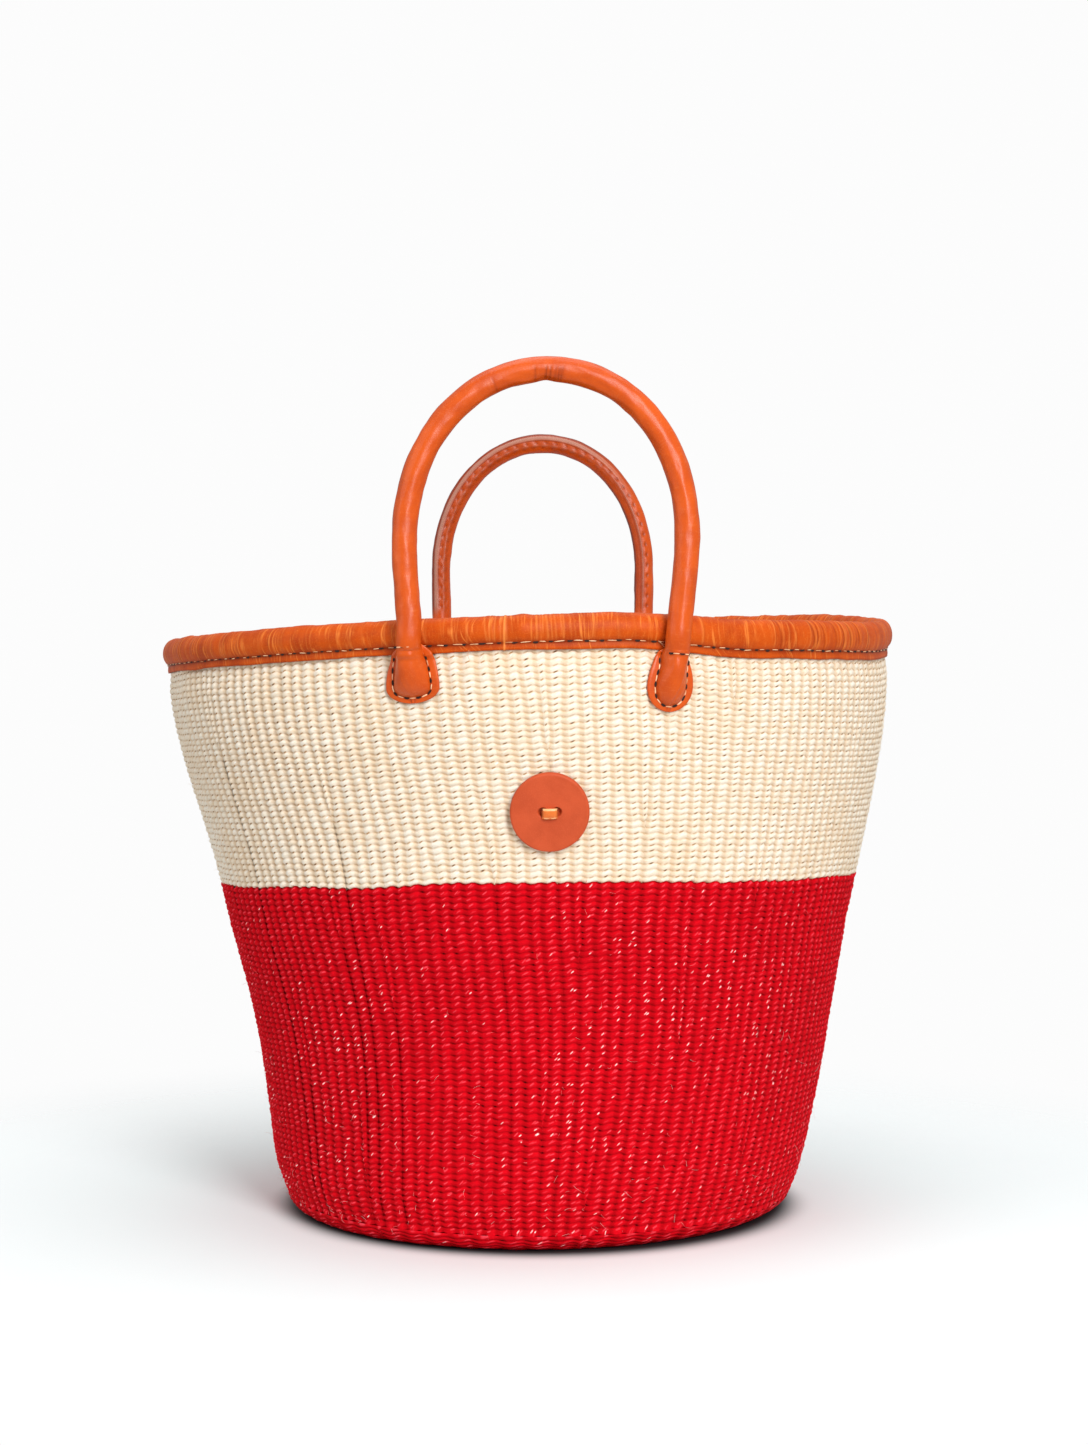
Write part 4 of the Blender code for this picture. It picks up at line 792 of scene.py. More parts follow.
def scatter(name, shape, frames, material, body="root"):
    """One mesh with a copy of a small shape in each frame."""
    points, faces = shape
    copies = np.concatenate([points @ np.array(f.to_3x3()).T + np.array(f.translation) for f in frames])
    all_faces = (faces[None] + (np.arange(len(frames)) * len(points))[:, None, None]).reshape(-1, faces.shape[1])
    mesh = bpy.data.meshes.new(name)
    polygons = [tuple(dict.fromkeys(face)) for face in all_faces.tolist()]
    mesh.from_pydata(copies.tolist(), [], polygons)
    mesh.shade_smooth()
    return new_piece(name, mesh, material, body)


def frame_at(point, along, out):
    """Frame with X along a seam and Z out of the surface."""
    along = Vector(along).normalized()
    side = Vector(out).cross(along).normalized()
    out = along.cross(side)
    made = Matrix((along, side, out)).transposed().to_4x4()
    made.translation = Vector(point)
    return made


def make_rim_stitches(materials):
    """Stitch row in the corner between the roll and the flange, outside and inside."""
    for label, side in (("outer", 1.0), ("inner", -1.0)):
        radius = wall_middle() + side * (flange_offset() + LEATHER / 2 + 0.0001)
        height = lip_height() + FLANGE_HEIGHT - 0.0005
        count = int(round(2 * math.pi * radius / RIM_STITCH_PITCH))
        random = np.random.default_rng(41)
        threads, slots = [], []
        for index in range(count):
            for made, shift in ((threads, 0.0), (slots, 0.5)):
                azimuth = BACK + 2 * math.pi * (index + shift + random.uniform(-0.12, 0.12)) / count
                lift = random.uniform(-0.0003, 0.0003)
                point = on_body(azimuth, radius, height + lift)
                ahead = on_body(azimuth + 0.001, radius, height + lift) - point
                ahead = ahead + Vector((0, 0, random.uniform(-0.09, 0.09) * 0.001 * radius))
                out = (side * math.cos(azimuth), side * math.sin(azimuth), 0.15)
                stretch = random.uniform(0.65, 1.2) * (1 - 0.25 * float(smooth(-1.5 * math.cos(azimuth))))
                made.append(frame_at(point, ahead, out) @ Matrix.Diagonal((stretch, 1.0, 1.0, 1.0)))
        shape = capsule(RIM_STITCH_PITCH - SLOT_LENGTH * 1.2, THREAD_RADIUS["rim"])
        scatter("rim_thread_" + label, shape, threads, materials["thread"])
        scatter("rim_slots_" + label, oval(SLOT_LENGTH, SLOT_WIDTH), slots, materials["hole"])


# Handles
def handle_frame(side):
    """Joint frame of a handle: X along its axis, Y to the inside of the basket, Z up."""
    sign = -1.0 if side == "front" else 1.0
    ends = []
    for half in (-HANDLE_HALF_SPAN[side], HANDLE_HALF_SPAN[side]):
        azimuth = sign * math.acos((HANDLE_OFFSET[side] + half) / leg_radius())
        ends.append(Vector(on_body(azimuth, leg_radius(), RIM_HEIGHT)))
    first, last = ends if side == "front" else ends[::-1]
    along = last - first
    along.z = 0.0
    half = along.length / 2
    along.normalize()
    upward = Vector((0.0, 0.0, 1.0))
    made = Matrix((along, upward.cross(along), upward)).transposed().to_4x4()
    made.translation = (first + last) / 2
    return made, half


def leg_reach(side, height):
    width = ARCH_HALF_WIDTH[side]
    _, half = handle_frame(side)
    below = (1 - max(height, 0.0) / ARCH_SHOULDER) ** LEG_CURVE_POWER
    return width - (width - half) * below


def leg_point(side, end, height):
    hand = "left" if (end < 0) == (side == "front") else "right"
    tuck = LEG_TUCK[side + "_" + hand] * min(max(-height / ROLL_HEIGHT, 0.0), 1.0)
    skew = ARCH_SKEW[side] * max(height, 0.0) / ARCH_RISE
    return Vector((end * (leg_reach(side, height) - tuck) + skew, 0.0, height))


def leg_side(corner):
    side, hand = corner.split("_")
    return -1.0 if (side == "front") == (hand == "left") else 1.0


def back_radius(height):
    on_wall = wall_radius(height) + GAP
    on_flange = LIP_RADIUS + GAP + LEATHER + GAP
    share = smooth((height - (lip_height() - GAP - TAB_RAMP)) / TAB_RAMP)
    return on_wall + (np.maximum(on_flange, on_wall) - on_wall) * share


def tab_top(corner):
    return RIM_HEIGHT - TAB_DROP[corner]


def leg_azimuth(corner, height, radius):
    side = corner.split("_")[0]
    made, _ = handle_frame(side)
    point = made @ leg_point(side, leg_side(corner), height - RIM_HEIGHT)
    sign = -1.0 if side == "front" else 1.0
    return sign * math.acos((point.x - float(lean(height))) / radius)


def tab_azimuth(corner):
    top = tab_top(corner)
    return leg_azimuth(corner, top, float(back_radius(top)) + HANDLE_RADIUS)


def tab_inward_sign(corner):
    middle = -math.pi / 2 if corner.startswith("front") else math.pi / 2
    return math.copysign(1.0, middle - tab_azimuth(corner))


def pear_half_width(corner, drop):
    length, half = TAB_LENGTH[corner], TAB_WIDTH[corner] / 2
    belly = TAB_BELLY_SHARE[corner] * length
    top = TAB_TOP_SHARE[corner] + TAB_SHOULDER_SHARE
    swell = half * (top + (1 - top) * np.sin(math.pi / 2 * np.clip(drop / belly, 0.0, 1.0)))
    toe = half * np.sqrt(np.clip(1 - ((drop - belly) / (length - belly)) ** 2, 0.0, 1.0))
    return np.where(drop <= belly, swell, toe)


def bulge_half_width(corner, drop):
    belly = TAB_BELLY_SHARE[corner] * TAB_LENGTH[corner]
    end = TAB_LENGTH[corner] - TAB_TOE
    widest = max(TAB_WIDTH[corner] / 2 - TAB_FLANGE - SEW_INSET, HANDLE_RADIUS)
    upper = np.maximum(pear_half_width(corner, drop) - TAB_FLANGE - SEW_INSET, HANDLE_RADIUS)
    share = np.clip((drop - belly) / (end - belly), 0.0, 1.0)
    return np.where(drop <= belly, upper, widest * np.sqrt(1 - share * share))


def bulge_height(corner, drop):
    share = np.clip(drop / (TAB_LENGTH[corner] - TAB_TOE), 0.0, 1.0)
    return 2 * HANDLE_RADIUS * (1 - 0.45 * share ** 1.5) * np.sqrt(1 - share ** 6)


def tab_point(corner, across, drop, out):
    height = tab_top(corner) - drop
    radius = back_radius(height) + out
    shift = TAB_INWARD[corner] * np.clip(drop / TAB_LENGTH[corner], 0.0, 1.0) * tab_inward_sign(corner)
    azimuth = tab_azimuth(corner) + (across + shift) / back_radius(height)
    return on_body(azimuth, radius, height)


def circle_section():
    """Angles of a section's points, from the middle of its back all the way round, front at half way."""
    return np.linspace(0.0, 2 * math.pi, SECTION + 1)


def tab_section(corner, drop):
    """(across, out) of one section of a tab: under the flange, round its edge, over the bulge."""
    half = float(pear_half_width(corner, drop))
    foot = max(min(float(bulge_half_width(corner, drop)), half - LEATHER), LEATHER / 2)
    half = max(half, foot + LEATHER / 2)
    high = max(float(bulge_height(corner, drop)), LEATHER)
    side = [(0.0, 0.0), (half * 0.5, 0.0), (half - 0.0003, 0.0), (half, 0.0004), (half - 0.0001, LEATHER - 0.0003),
            (half - 0.0005, LEATHER)]
    for share in (0.35, 0.7, 0.9):
        side.append((half - 0.0005 + (foot + 0.0003 - half) * share, LEATHER - 0.0001 * share))
    count = SECTION // 2 - len(side)
    spread = float(smooth(drop / (0.4 * TAB_LENGTH[corner])))
    for angle in np.linspace(0.0, math.pi / 2, count + 1):
        across = foot * math.cos(angle) ** (0.8 + 0.3 * spread)
        side.append((across, LEATHER * 0.8 + (high - LEATHER * 0.8) * math.sin(angle) ** (0.8 + 0.5 * spread)))
    left = [(-across, out) for across, out in side[-2::-1]]
    return np.array(side + left)


def neck_radius(height):
    clear = GAP + HANDLE_RADIUS
    depth = (roll_centre_height() - height) / (roll_half_height() + LEATHER / 2 + clear)
    past_roll = wall_middle() + (roll_half_width() + clear) * math.sqrt(max(1 - depth * depth, 0.0))
    return max(past_roll, float(back_radius(height)) + HANDLE_RADIUS)


def neck_path(corner, count):
    """Middle line of a neck from the top of its tab to the start of the arch."""
    side = corner.split("_")[0]
    points = []
    for height in np.linspace(tab_top(corner), roll_centre_height(), count):
        radius = neck_radius(height)
        points.append(on_body(leg_azimuth(corner, height, radius), radius, height))
    made, _ = handle_frame(side)
    for height in np.linspace(-ROLL_HEIGHT / 6, ARCH_START, count):
        points.append(np.array(made @ leg_point(side, leg_side(corner), height)))
    return points


def arch_path(side, count):
    made, _ = handle_frame(side)
    width = ARCH_HALF_WIDTH[side]
    crown = ARCH_RISE - ARCH_SHOULDER
    heights = np.linspace(ARCH_START, ARCH_SHOULDER, 24)[1:-1]
    right = [leg_point(side, 1.0, height) for height in heights]
    left = [leg_point(side, -1.0, height) for height in heights[::-1]]
    top = []
    for angle in np.linspace(0.0, math.pi, count):
        across = width * abs(math.cos(angle)) ** ARCH_POWER[side]
        height = ARCH_SHOULDER + crown * abs(math.sin(angle)) ** ARCH_POWER[side]
        skew = ARCH_SKEW[side] * height / ARCH_RISE
        top.append(Vector((math.copysign(across, math.cos(angle)) + skew, 0.0, height)))
    return [np.array(made @ point) for point in right + top + left]


def even_line(points, step):
    """The same line with evenly spaced points, a little smoothed."""
    points = np.array(points)
    lengths = np.concatenate(([0.0], np.cumsum(np.linalg.norm(np.diff(points, axis=0), axis=1))))
    count = int(round(lengths[-1] / step))
    even = np.linspace(0.0, lengths[-1], count + 1)
    line = np.stack([np.interp(even, lengths, points[:, axis]) for axis in range(3)], 1)
    for _ in range(6):
        line[1:-1] = (line[:-2] + 2 * line[1:-1] + line[2:]) / 4
    return line, even


def seam_marks(turned, along, far):
    """Marks of the seam on the inward side of a handle: how pale, how dark and how dented. The pale band is the raw
    edge of the lap, with painted highlights on the ridges between the dents; the dark is painted shade in the stitch
    dents, along the lap's edge and over the inward side. Towards its far end the seam turns, and only a thin pale edge
    is left in view."""
    wave = 2 * math.pi * along / SEAM_PITCH
    near = 1 - far
    edge = near * smooth((turned + 0.74) / 0.08) * smooth((-0.24 - turned) / 0.08)
    first = np.exp(-((turned - 0.04 + 0.40 * far) / 0.15) ** 2) * (0.5 + 0.5 * np.cos(wave)) ** 2
    second = np.exp(-((turned - 0.66) / 0.15) ** 2) * (0.5 + 0.5 * np.cos(wave + 2.4)) ** 2
    ridge = np.exp(-((turned - 0.36) / 0.11) ** 2) * (0.6 + 0.4 * np.cos(wave + 1.2))
    thin = np.exp(-((turned - 0.10) / 0.075) ** 2)
    line = near * np.exp(-((turned + 0.18) / 0.07) ** 2) + far * np.exp(-((turned - 0.27) / 0.07) ** 2)
    outer = near * smooth((-0.72 - turned) / 0.10) * smooth((turned + 1.9) / 0.4)
    inner = far * smooth((turned - 0.85) / 0.2) * smooth((1.9 - turned) / 0.4)
    dents = np.maximum(first, second * 0.8 * near)
    shade = smooth((turned + 0.25) / 0.2) * smooth((1.1 - turned) / 0.5)
    # Painted shade: the dents, the line along the lap, its outer edge and the inward side of the handle
    painted_shade = np.maximum(np.maximum(dents * 0.8, line * 0.85), np.maximum(np.maximum(outer, inner) * 0.9, shade * 0.36))
    return np.maximum(edge, np.maximum(ridge * 0.5 * near, thin * 0.8 * far)), painted_shade, dents


def crown_folds(turned, along):
    """Short creases across the front of a handle where it bends most; along is 0 at its middle."""
    lower = smooth((np.sin(turned) + 0.35) / 0.5) * smooth((-np.cos(turned) - 0.05) / 0.4)
    folds = np.zeros(np.broadcast_shapes(turned.shape, along.shape))
    for place, size in ((-0.0075, 0.7), (-0.006, 0.8), (-0.0042, 0.6), (-0.0015, 0.9), (0.0006, 1.0), (0.0062, 0.7), (0.028, 0.5)):
        folds = np.maximum(folds, size * np.exp(-((along - place - 0.0006 * np.sin(turned)) / 0.00055) ** 2))
    return folds * lower


def make_handle(side, materials):
    """Skin of one handle with both sewn ends, from toe to toe, as one piece that runs over the rim."""
    made, _ = handle_frame(side)
    right, left = (side + "_right", side + "_left") if side == "front" else (side + "_left", side + "_right")
    points = neck_path(right, 14) + arch_path(side, 160) + neck_path(left, 14)[::-1]
    line, along = even_line(points, HANDLE_STEP)
    angles = circle_section()
    direction = np.gradient(line, along, axis=0)
    direction /= np.linalg.norm(direction, axis=1)[:, None]
    inward = np.array(made.to_3x3() @ Vector((0.0, 1.0, 0.0)))
    radial = -line * (1.0, 1.0, 0.0)
    radial /= np.linalg.norm(radial, axis=1)[:, None]
    height = line[:, 2] - made.translation.z
    share = smooth((height + 0.012) / 0.02)[:, None]
    back = radial * (1 - share) + inward * share
    back -= (back * direction).sum(1)[:, None] * direction
    back /= np.linalg.norm(back, axis=1)[:, None]
    across = np.cross(direction, back)
    seed = 51 if side == "front" else 52
    u, v = np.meshgrid(angles / (2 * math.pi) * 12, along / 0.012)
    radius = HANDLE_RADIUS * (1 + 0.035 * noise(u, v, seed, 12) + 0.02 * noise(u * 2, v * 2.7, seed + 5, 24))
    on_arch = smooth((height - 0.004) / 0.01)[:, None]
    turned = (angles + math.pi) % (2 * math.pi) - math.pi
    turned = turned[None]
    far = smooth((along / along[-1] - 0.56) / 0.2)[:, None] if side == "rear" else np.zeros((len(along), 1))
    paler, painted_shade, dents = seam_marks(turned, along[:, None], far)
    radius = radius + (0.0006 * paler - 0.0005 * dents) * on_arch
    if side == "front":
        folds = crown_folds(turned, along[:, None] - along[-1] / 2)
        radius = radius - 0.0003 * folds
        inner = np.clip(np.sin(turned), 0.0, 1.0) ** 2
        radius = radius - 0.0011 * inner * np.exp(-((along[:, None] - along[-1] / 2 - 0.001) / 0.0045) ** 2)
        # Painted shade in the crown folds
        painted_shade = np.maximum(painted_shade * on_arch, folds * 0.7)
    circle = line[:, None] + radius[..., None] * (
        np.cos(angles)[None, :, None] * back[:, None] + np.sin(angles)[None, :, None] * across[:, None])
    sections = [circle]
    skins = [np.stack(np.meshgrid(angles * HANDLE_RADIUS, along)[::-1], -1)]
    for corner, first in ((right, True), (left, False)):
        length = TAB_LENGTH[corner]
        drops = length * np.sin(np.linspace(0.0, math.pi / 2, 46)) ** 1.15
        drops[-1] = length - 0.00002
        outline = [tab_section(corner, drop) for drop in drops]
        over = np.linspace(0.0, 0.006, 8)[1:]
        # The first stations of the tube take the shape of the tab's top and lose it within a few millimetres
        top = tab_section(corner, 0.0)
        stations = range(0, 16) if first else range(len(line) - 16, len(line))
        for station in stations:
            away = station if first else len(line) - 1 - station
            rise = away * HANDLE_STEP
            part = float(smooth(1 - rise / TAB_SHOULDER_RISE[corner]))
            flat = tab_point(corner, top[:, 0], -rise, top[:, 1])
            if flat_is_reversed(corner, first):
                flat = flat[::-1]
            circle[station] = circle[station] * (1 - part) + flat * part
        rows = [tab_point(corner, shape[:, 0], drop, shape[:, 1]) for shape, drop in zip(outline, drops)][1:]
        rows = np.array(rows)
        if flat_is_reversed(corner, first):
            rows = rows[:, ::-1]
        wrinkle_tab(rows, drops[1:], corner)
        skin = np.stack(np.meshgrid(angles * HANDLE_RADIUS, drops[1:] if not first else -drops[1:])[::-1], -1)
        if first:
            sections.insert(0, rows[::-1])
            skins.insert(0, skin[::-1])
        else:
            sections.append(rows)
            skins.append(skin + (along[-1], 0.0))
    grid = np.concatenate(sections)
    chart = np.concatenate(skins)
    marks = np.zeros_like(chart)
    start = len(sections[0]) if len(sections) == 3 else 0
    # First value: the seam's raw edge with painted highlights; second value: painted shade
    marks[start:start + len(line), :, 0] = paler * on_arch
    marks[start:start + len(line), :, 1] = painted_shade * (on_arch if side == "rear" else 1.0)
    # Painted shade in the corner at the foot of each tab's bulge
    for column, shade in ((8, 0.35), (9, 0.7), (10, 0.35)):
        for rows in (slice(0, start), slice(start + len(line), None)):
            marks[rows, column, 1] = shade
            marks[rows, SECTION - column, 1] = shade
    mesh = grid_mesh(side + "_handle_skin", grid, {"skin": chart, "crease": marks}, wrap=True)
    piece = new_piece(mesh.name, mesh, materials["handle"], None)
    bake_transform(piece)
    parts = [side + "_handle_cover"]
    for hand in ("left", "right"):
        parts += [side + "_" + hand + "_" + part for part in ("neck", "tab", "rope_end")]
    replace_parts(piece, *parts)
    return piece


def flat_is_reversed(corner, first):
    """True where a tab's section runs the other way round from the tube's."""
    return first == (not corner.startswith("none"))


def wrinkle_tab(rows, drops, corner):
    """Small radial wrinkles on a tab's bulge."""
    strength = 0.00028 if corner.endswith("right") else 0.00012
    centre = rows.mean(1, keepdims=True)
    out = rows - centre
    size = np.linalg.norm(out, axis=2, keepdims=True)
    index = np.arange(rows.shape[1])
    u, v = np.meshgrid(index / rows.shape[1] * 22, drops / 0.008)
    ridge = noise(u + v * 1.5, v, 61, 22)[..., None]
    front = np.clip(np.abs(index / (rows.shape[1] - 1) - 0.5) * -5 + 1.5, 0.0, 1.0)[None, :, None]
    rows += out / np.maximum(size, 1e-6) * ridge * front * strength


def contour_points(corner, count):
    """Evenly spaced places along the seam at the foot of a tab's bulge: (across, drop)."""
    end = TAB_LENGTH[corner] - TAB_TOE * 0.9
    drops = np.linspace(0.0012 - SEAM_RISE[corner] * 0.55, end, 400)
    widths = bulge_half_width(corner, drops) + 0.0006
    belly = TAB_BELLY_SHARE[corner] * TAB_LENGTH[corner]
    share = np.clip((drops - belly) / (end - belly), 0.0, 1.0)
    widths = np.where(drops > belly, (bulge_half_width(corner, belly) + 0.0006) * np.sqrt(1 - share ** 2.4), widths)
    clear = 0.0022 * (1 - smooth(drops / belly))
    left = widths + clear * (tab_inward_sign(corner) > 0)
    right = widths + clear * (tab_inward_sign(corner) < 0)
    line = np.concatenate((np.stack((-left, drops), 1), np.stack((right, drops), 1)[::-1]))
    lengths = np.concatenate(([0.0], np.cumsum(np.hypot(*np.diff(line, axis=0).T))))
    even = np.linspace(0.0, lengths[-1], count)
    return np.stack((np.interp(even, lengths, line[:, 0]), np.interp(even, lengths, line[:, 1])), 1), lengths[-1]


def top_seam(corner, count):
    """Places across the top of a tab's bulge, from side to side: points and the way out of the leather."""
    foot, high = float(bulge_half_width(corner, 0.0)), float(bulge_height(corner, 0.0))
    rise = SEAM_RISE[corner]
    middle = Vector(tab_point(corner, 0.0, 0.0005 - rise, high / 2))
    points = []
    for angle in np.linspace(0.14 * math.pi, 0.86 * math.pi, count):
        if rise:
            across = (HANDLE_RADIUS + 0.0001) * math.cos(angle)
            out = HANDLE_RADIUS + (HANDLE_RADIUS + 0.0001) * math.sin(angle) + 0.28 * rise
        else:
            across = math.copysign((foot + 0.0001) * abs(math.cos(angle)) ** 0.8, math.cos(angle))
            out = LEATHER * 0.8 + (high + 0.0001 - LEATHER * 0.8) * math.sin(angle) ** 0.8
        points.append(Vector(tab_point(corner, across, 0.0005 - rise, out)))
    return points, [point - middle for point in points]


def make_tab_stitches(corner, materials):
    """Thread and slots round the foot of a tab's bulge, and across its top."""
    _, length = contour_points(corner, 4)
    count = int(round(length / TAB_STITCH_PITCH))
    places, _ = contour_points(corner, 2 * count + 1)
    points = [Vector(tab_point(corner, across, drop, LEATHER + 0.0001)) for across, drop in places]
    azimuth = tab_azimuth(corner)
    ways = [Vector((math.cos(azimuth), math.sin(azimuth), -0.1))] * len(points)
    random = np.random.default_rng(43)
    threads, slots = [], []
    for line, outward in ((points, ways), top_seam(corner, 7)):
        for index in range(1, len(line) - 1):
            made = frame_at(line[index], line[index + 1] - line[index - 1], outward[index])
            made = made @ Matrix.Diagonal((random.uniform(0.8, 1.1), random.uniform(0.8, 1.1), 1.0, 1.0))
            (slots if index % 2 else threads).append(made)
    shape = capsule(TAB_STITCH_PITCH - SLOT_LENGTH, THREAD_RADIUS["tab"])
    scatter(corner + "_tab_thread", shape, threads, materials["thread"])
    scatter(corner + "_tab_slots", oval(SLOT_LENGTH, SLOT_WIDTH), slots, materials["hole"])


# Button
def button_frame():
    radius = float(wall_radius(BUTTON_HEIGHT))
    azimuth = -math.acos(BUTTON_OFFSET / radius)
    origin = Vector(on_body(azimuth, radius, BUTTON_HEIGHT))
    step = 0.0003
    across = Vector(on_body(azimuth + step / radius, radius, BUTTON_HEIGHT)) - origin
    up = Vector(on_body(azimuth, float(wall_radius(BUTTON_HEIGHT + step)), BUTTON_HEIGHT + step)) - origin
    across.normalize()
    out = across.cross(up).normalized()
    made = Matrix((across, out.cross(across), out)).transposed().to_4x4()
    made.translation = origin
    return made


def make_button(materials):
    """Leather disc with a soft, slightly worn edge and two holes."""
    made = button_frame()
    radii = np.concatenate((np.linspace(0.0, BUTTON_RADIUS - 0.0012, 44), BUTTON_RADIUS - 0.0012 + 0.0012 * np.sin(np.linspace(0.2, math.pi / 2, 7)),
                            [BUTTON_RADIUS, BUTTON_RADIUS, BUTTON_RADIUS - 0.0006]))
    face = GAP + BUTTON_THICKNESS
    lows = np.concatenate((np.full(44, face), face - 0.0012 * (1 - np.cos(np.linspace(0.2, math.pi / 2, 7))), [face - 0.002, GAP + 0.0004, GAP]))
    turns = np.arange(161) * 2 * math.pi / 160
    radius, turn = np.meshgrid(radii, turns, indexing="ij")
    x, y = radius * np.cos(turn), radius * np.sin(turn)
    z = np.broadcast_to(lows[:, None], x.shape).copy()
    wear = noise(turn / (2 * math.pi) * 30, radius * 0, 71, 30) * smooth((radius - BUTTON_RADIUS + 0.002) / 0.002)
    swell = noise(x / 0.006 + 40, y / 0.006 + 40, 72)
    scale = 1 + 0.0015 * wear
    for place in (-BUTTON_HOLE_PLACE, BUTTON_HOLE_PLACE):
        near = np.hypot(x - place, (y - 0.0006) * 1.1)
        z -= 0.0026 * smooth((BUTTON_HOLE_RADIUS + 0.0002 - near) / 0.0006)
    z += 0.00012 * swell * (radius < BUTTON_RADIUS - 0.002)
    local = np.stack((x * scale, y * scale * 1.03 + 0.0005 * smooth(radius / 0.008), z), -1)
    points = local @ np.array(made.to_3x3()).T + np.array(made.translation)
    skin = np.stack((x, y), -1)
    mesh = grid_mesh("button_skin", points, {"skin": skin}, wrap=True)
    piece = new_piece("button_skin", mesh, materials["button"], "button_set")
    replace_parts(piece, "button")


def make_lace(materials):
    """Rounded skin over the bridge of the button's lace, with paler cut edges that are partly painted highlight, and
    painted shade at its ends where it goes into the holes.
    """
    made = button_frame()
    half = LACE_THICKNESS / 2
    crown = 2 * GAP + BUTTON_THICKNESS + LACE_THICKNESS + LACE_ARCH + 0.0001
    share, turn = np.meshgrid(np.linspace(-1.0, 1.0, 49), np.linspace(0.0, 2 * math.pi, 33), indexing="ij")
    bend = np.abs(share) ** 3
    x = (BUTTON_HOLE_PLACE + half + 0.0001) * np.sin(share * math.pi / 2)
    y = np.sign(np.cos(turn)) * np.abs(np.cos(turn)) ** 0.6 * (0.0027 - 0.0004 * bend) + 0.0005
    z = crown - 0.0011 + 0.0011 * np.sign(np.sin(turn)) * np.abs(np.sin(turn)) ** 0.6 - 0.0028 * bend
    points = np.stack((x, y, z), -1) @ np.array(made.to_3x3()).T + np.array(made.translation)
    # Paler cut edges, partly painted highlight
    pale = smooth((np.abs(y - 0.0005) - 0.0016) / 0.0006)
    # Painted shade at the ends, where the lace goes into the holes
    dark = smooth((np.abs(x) - 0.0031) / 0.0007)
    maps = {"skin": np.stack((x, y), -1), "crease": np.stack((pale, dark), -1)}
    new_piece("lace_skin", grid_mesh("lace_skin", points, maps, wrap=True), materials["lace"], "button_set")


# Loose fibres
def hair_shape(length, radius, rings=5):
    """Points of a thin bent fibre from its root along X, curling towards Z, and its faces."""
    turns = np.arange(3) * 2 * math.pi / 3
    bends = np.linspace(0.0, 1.4, rings)
    thick = np.linspace(1.0, 0.45, rings)[:, None] * radius
    x = np.repeat(np.sin(bends) * length, 3)
    y = (thick * np.cos(turns)).ravel()
    z = np.repeat((1 - np.cos(bends)) * length, 3) + (thick * np.sin(turns)).ravel()
    faces = []
    for ring in range(rings - 1):
        for side in range(3):
            after = (side + 1) % 3
            faces.append((ring * 3 + side, ring * 3 + after, (ring + 1) * 3 + after, (ring + 1) * 3 + side))
    return np.stack((x, y, z), 1), np.array(faces)


def make_hairs(materials):
    """Fibres that stand out of the woven wall, more of them low down."""
    for label, yarn, count, low, high, length in (
        ("cream", "cream", 260, COLOUR_HEIGHT, 0.31, 0.0019),
        ("red", "red", 520, HEEL_HEIGHT, COLOUR_HEIGHT, 0.0019),
        ("long", "red", 220, HEEL_HEIGHT, 0.12, 0.0034),
    ):
        random = np.random.default_rng(81)
        hairs = []
        for _ in range(count):
            azimuth = random.uniform(0.0, 2 * math.pi)
            height = low + (high - low) * random.uniform(0.0, 1.0) ** (1.7 if yarn == "red" else 1.0)
            root = on_body(azimuth, float(wall_radius(height)) - 0.0002, height)
            out = Vector((math.cos(azimuth), math.sin(azimuth), 0.0))
            beside = Vector((-math.sin(azimuth), math.cos(azimuth), 0.0))
            turn = random.uniform(0.0, 2 * math.pi)
            flat = beside * math.cos(turn) + Vector((0.0, 0.0, math.sin(turn)))
            way = out * random.uniform(0.3, 1.2) + flat
            made = frame_at(root, way, flat * random.uniform(-1.0, 1.0) - out * 0.4 + beside * 0.2)
            hairs.append(made @ Matrix.Diagonal((random.uniform(0.5, 1.6), 1.0, random.uniform(0.5, 1.6), 1.0)))
        scatter(label + "_hairs", hair_shape(length, 0.00008), hairs, materials[label + "_hair"])


def make_thread_ends(materials):
    """Short loose ends of the sewing thread under the rim."""
    ends = []
    for azimuth, drop, turn in ((-1.246, 0.0002, -0.95), (-1.240, 0.0010, -1.25), (-1.705, 0.0036, -2.0)):
        height = lip_height() + FLANGE_HEIGHT - drop
        radius = LIP_RADIUS + GAP + LEATHER + 0.0004
        beside = Vector((-math.sin(azimuth), math.cos(azimuth), 0.0))
        out = Vector((math.cos(azimuth), math.sin(azimuth), 0.0))
        way = beside * math.cos(turn) + Vector((0.0, 0.0, math.sin(turn)))
        ends.append(frame_at(on_body(azimuth, radius, height), way + out * 0.3, out * 0.15 + beside))
    scatter("thread_ends", hair_shape(0.0052, 0.0002, 7), ends, materials["thread"])


# Pieces that keep their CAD mesh
def dress_frame(materials):
    """Materials of the CAD nodes that stay in view."""
    for name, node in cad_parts.items():
        if node.hide_render:
            continue
        label, slot = "rope", "rope"
        if name.endswith("backing_patch"):
            label, slot = "rim", "rim_leather"
        if name == "button_washer":
            label, slot = "rim", "rim_leather"
        if name == "button_lace":
            label, slot = "lace", "lace_leather"
        add_skin_map(node.data)
        node.data.materials.clear()
        node.data.materials.append(materials[label])


def add_skin_map(mesh):
    """Flat map in metres, seen along Y, for small leather pieces."""
    layer = mesh.uv_layers.new(name="skin")
    for loop in mesh.loops:
        point = mesh.vertices[loop.vertex_index].co
        layer.data[loop.index].uv = (point.x, point.z)


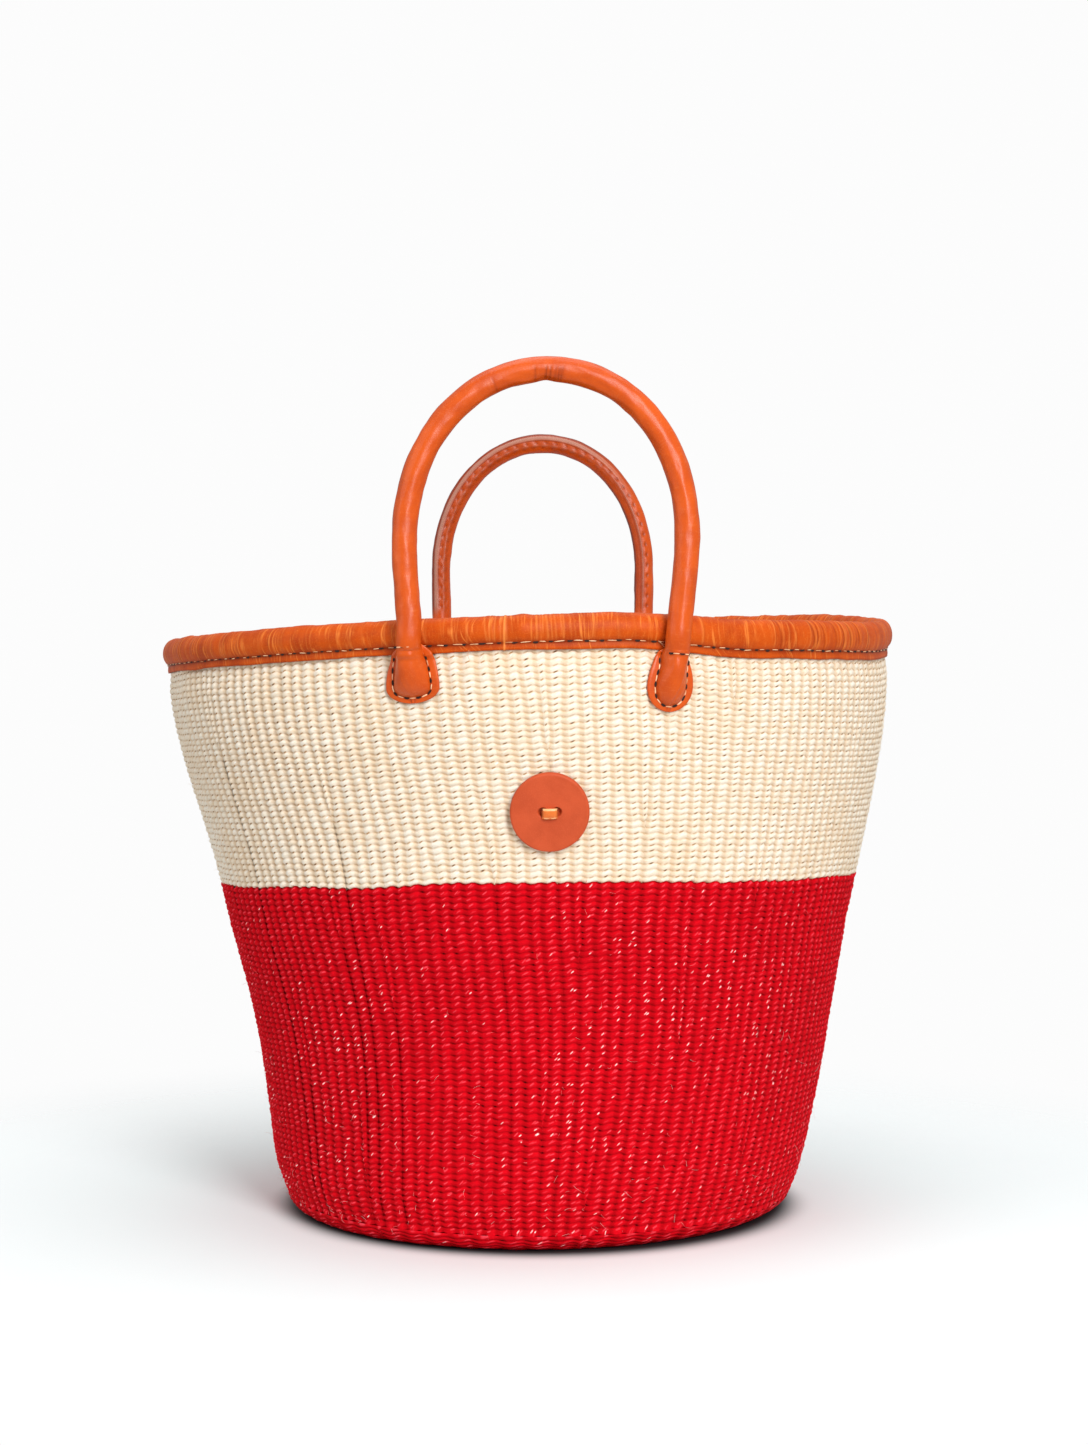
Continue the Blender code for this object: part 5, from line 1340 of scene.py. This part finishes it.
# Camera, light and floor
def make_stage():
    scene = bpy.context.scene
    camera_data = bpy.data.cameras.new("camera")
    camera_data.sensor_fit = "VERTICAL"
    camera_data.sensor_height = 36.0
    camera_data.lens = 57.45
    camera = bpy.data.objects.new("camera", camera_data)
    camera.location = (0.003, -1.348, 0.278)
    camera.rotation_euler = (math.pi / 2, 0.0, 0.0)
    scene.collection.objects.link(camera)
    scene.camera = camera
    for name, place, size, power in (
        ("key", (0.60, -1.72, 0.90), (0.6, 1.1), 32.0),
        ("fill", (-1.6, -0.9, 0.9), (1.4, 1.4), 9.0),
        ("top", (0.1, 0.1, 1.9), (1.6, 1.6), 15.0),
    ):
        data = bpy.data.lights.new(name, "AREA")
        data.energy = power
        data.shape = "RECTANGLE"
        data.size, data.size_y = size
        lamp = bpy.data.objects.new(name, data)
        lamp.location = place
        lamp.rotation_euler = (Vector(place) - Vector((0.0, 0.0, 0.2))).to_track_quat("Z", "Y").to_euler()
        scene.collection.objects.link(lamp)
    floor_mesh = bpy.data.meshes.new("floor")
    reach = 6.0
    floor_mesh.from_pydata([(-reach, -reach, 0), (reach, -reach, 0), (reach, reach, 0), (-reach, reach, 0)], [], [(0, 1, 2, 3)])
    floor = bpy.data.objects.new("floor", floor_mesh)
    scene.collection.objects.link(floor)
    shader = Shader("pale_floor")
    shade = shader.mix(shader.ramp(shader.noise(shader.place(), 3.0), 0.3, 0.7), (0.87, 0.945, 0.955), (0.88, 0.955, 0.965))
    length = shader.node("ShaderNodeVectorMath", operation="LENGTH")
    shader.put(length.inputs[0], shader.place())
    # Paler and cooler close to the foot, offsetting the red light the basket throws on the floor
    shade = shader.mix(shader.ramp(length.outputs["Value"], 0.34, 0.20), shade, (0.87, 0.985, 0.99))
    # Painted contact shadow: the floor is dark right round the foot
    painted_contact_shadow = shader.ramp(length.outputs["Value"], 0.165, 0.137)
    painted_contact_shadow = shader.math("MULTIPLY", shader.math("MULTIPLY", painted_contact_shadow, painted_contact_shadow), 0.97)
    shade = shader.mix(painted_contact_shadow, shade, (0.02, 0.006, 0.008))
    shader.finish(shade, 0.8, Specular_IOR_Level=0.1)
    clear, blend = shader.node("ShaderNodeBsdfTransparent"), shader.node("ShaderNodeMixShader")
    shader.put(blend.inputs[0], shader.ramp(length.outputs["Value"], 0.17, 0.60))
    shader.put(blend.inputs[1], shader.surface.outputs[0])
    shader.put(blend.inputs[2], clear.outputs[0])
    shader.put(shader.tree.nodes["Material Output"].inputs["Surface"], blend.outputs[0])
    floor_mesh.materials.append(shader.material)
    world = bpy.data.worlds.new("studio")
    scene.world = world
    world.use_nodes = True
    tree = world.node_tree
    light = tree.nodes["Background"]
    light.inputs["Color"].default_value = (1.0, 1.0, 1.0, 1.0)
    path = tree.nodes.new("ShaderNodeLightPath")
    strength = tree.nodes.new("ShaderNodeMapRange")
    strength.inputs["To Min"].default_value = 0.46
    strength.inputs["To Max"].default_value = 0.975
    tree.links.new(path.outputs["Is Camera Ray"], strength.inputs["Value"])
    tree.links.new(strength.outputs["Result"], light.inputs["Strength"])
    scene.view_settings.view_transform = "Standard"


def main():
    materials = new_materials()
    make_walls(materials)
    make_base(materials)
    make_rim(materials)
    make_rim_stitches(materials)
    for side in ("front", "rear"):
        make_handle(side, materials)
        for hand in ("left", "right"):
            make_tab_stitches(side + "_" + hand, materials)
    make_button(materials)
    make_lace(materials)
    make_hairs(materials)
    make_thread_ends(materials)
    dress_frame(materials)
    make_stage()


main()
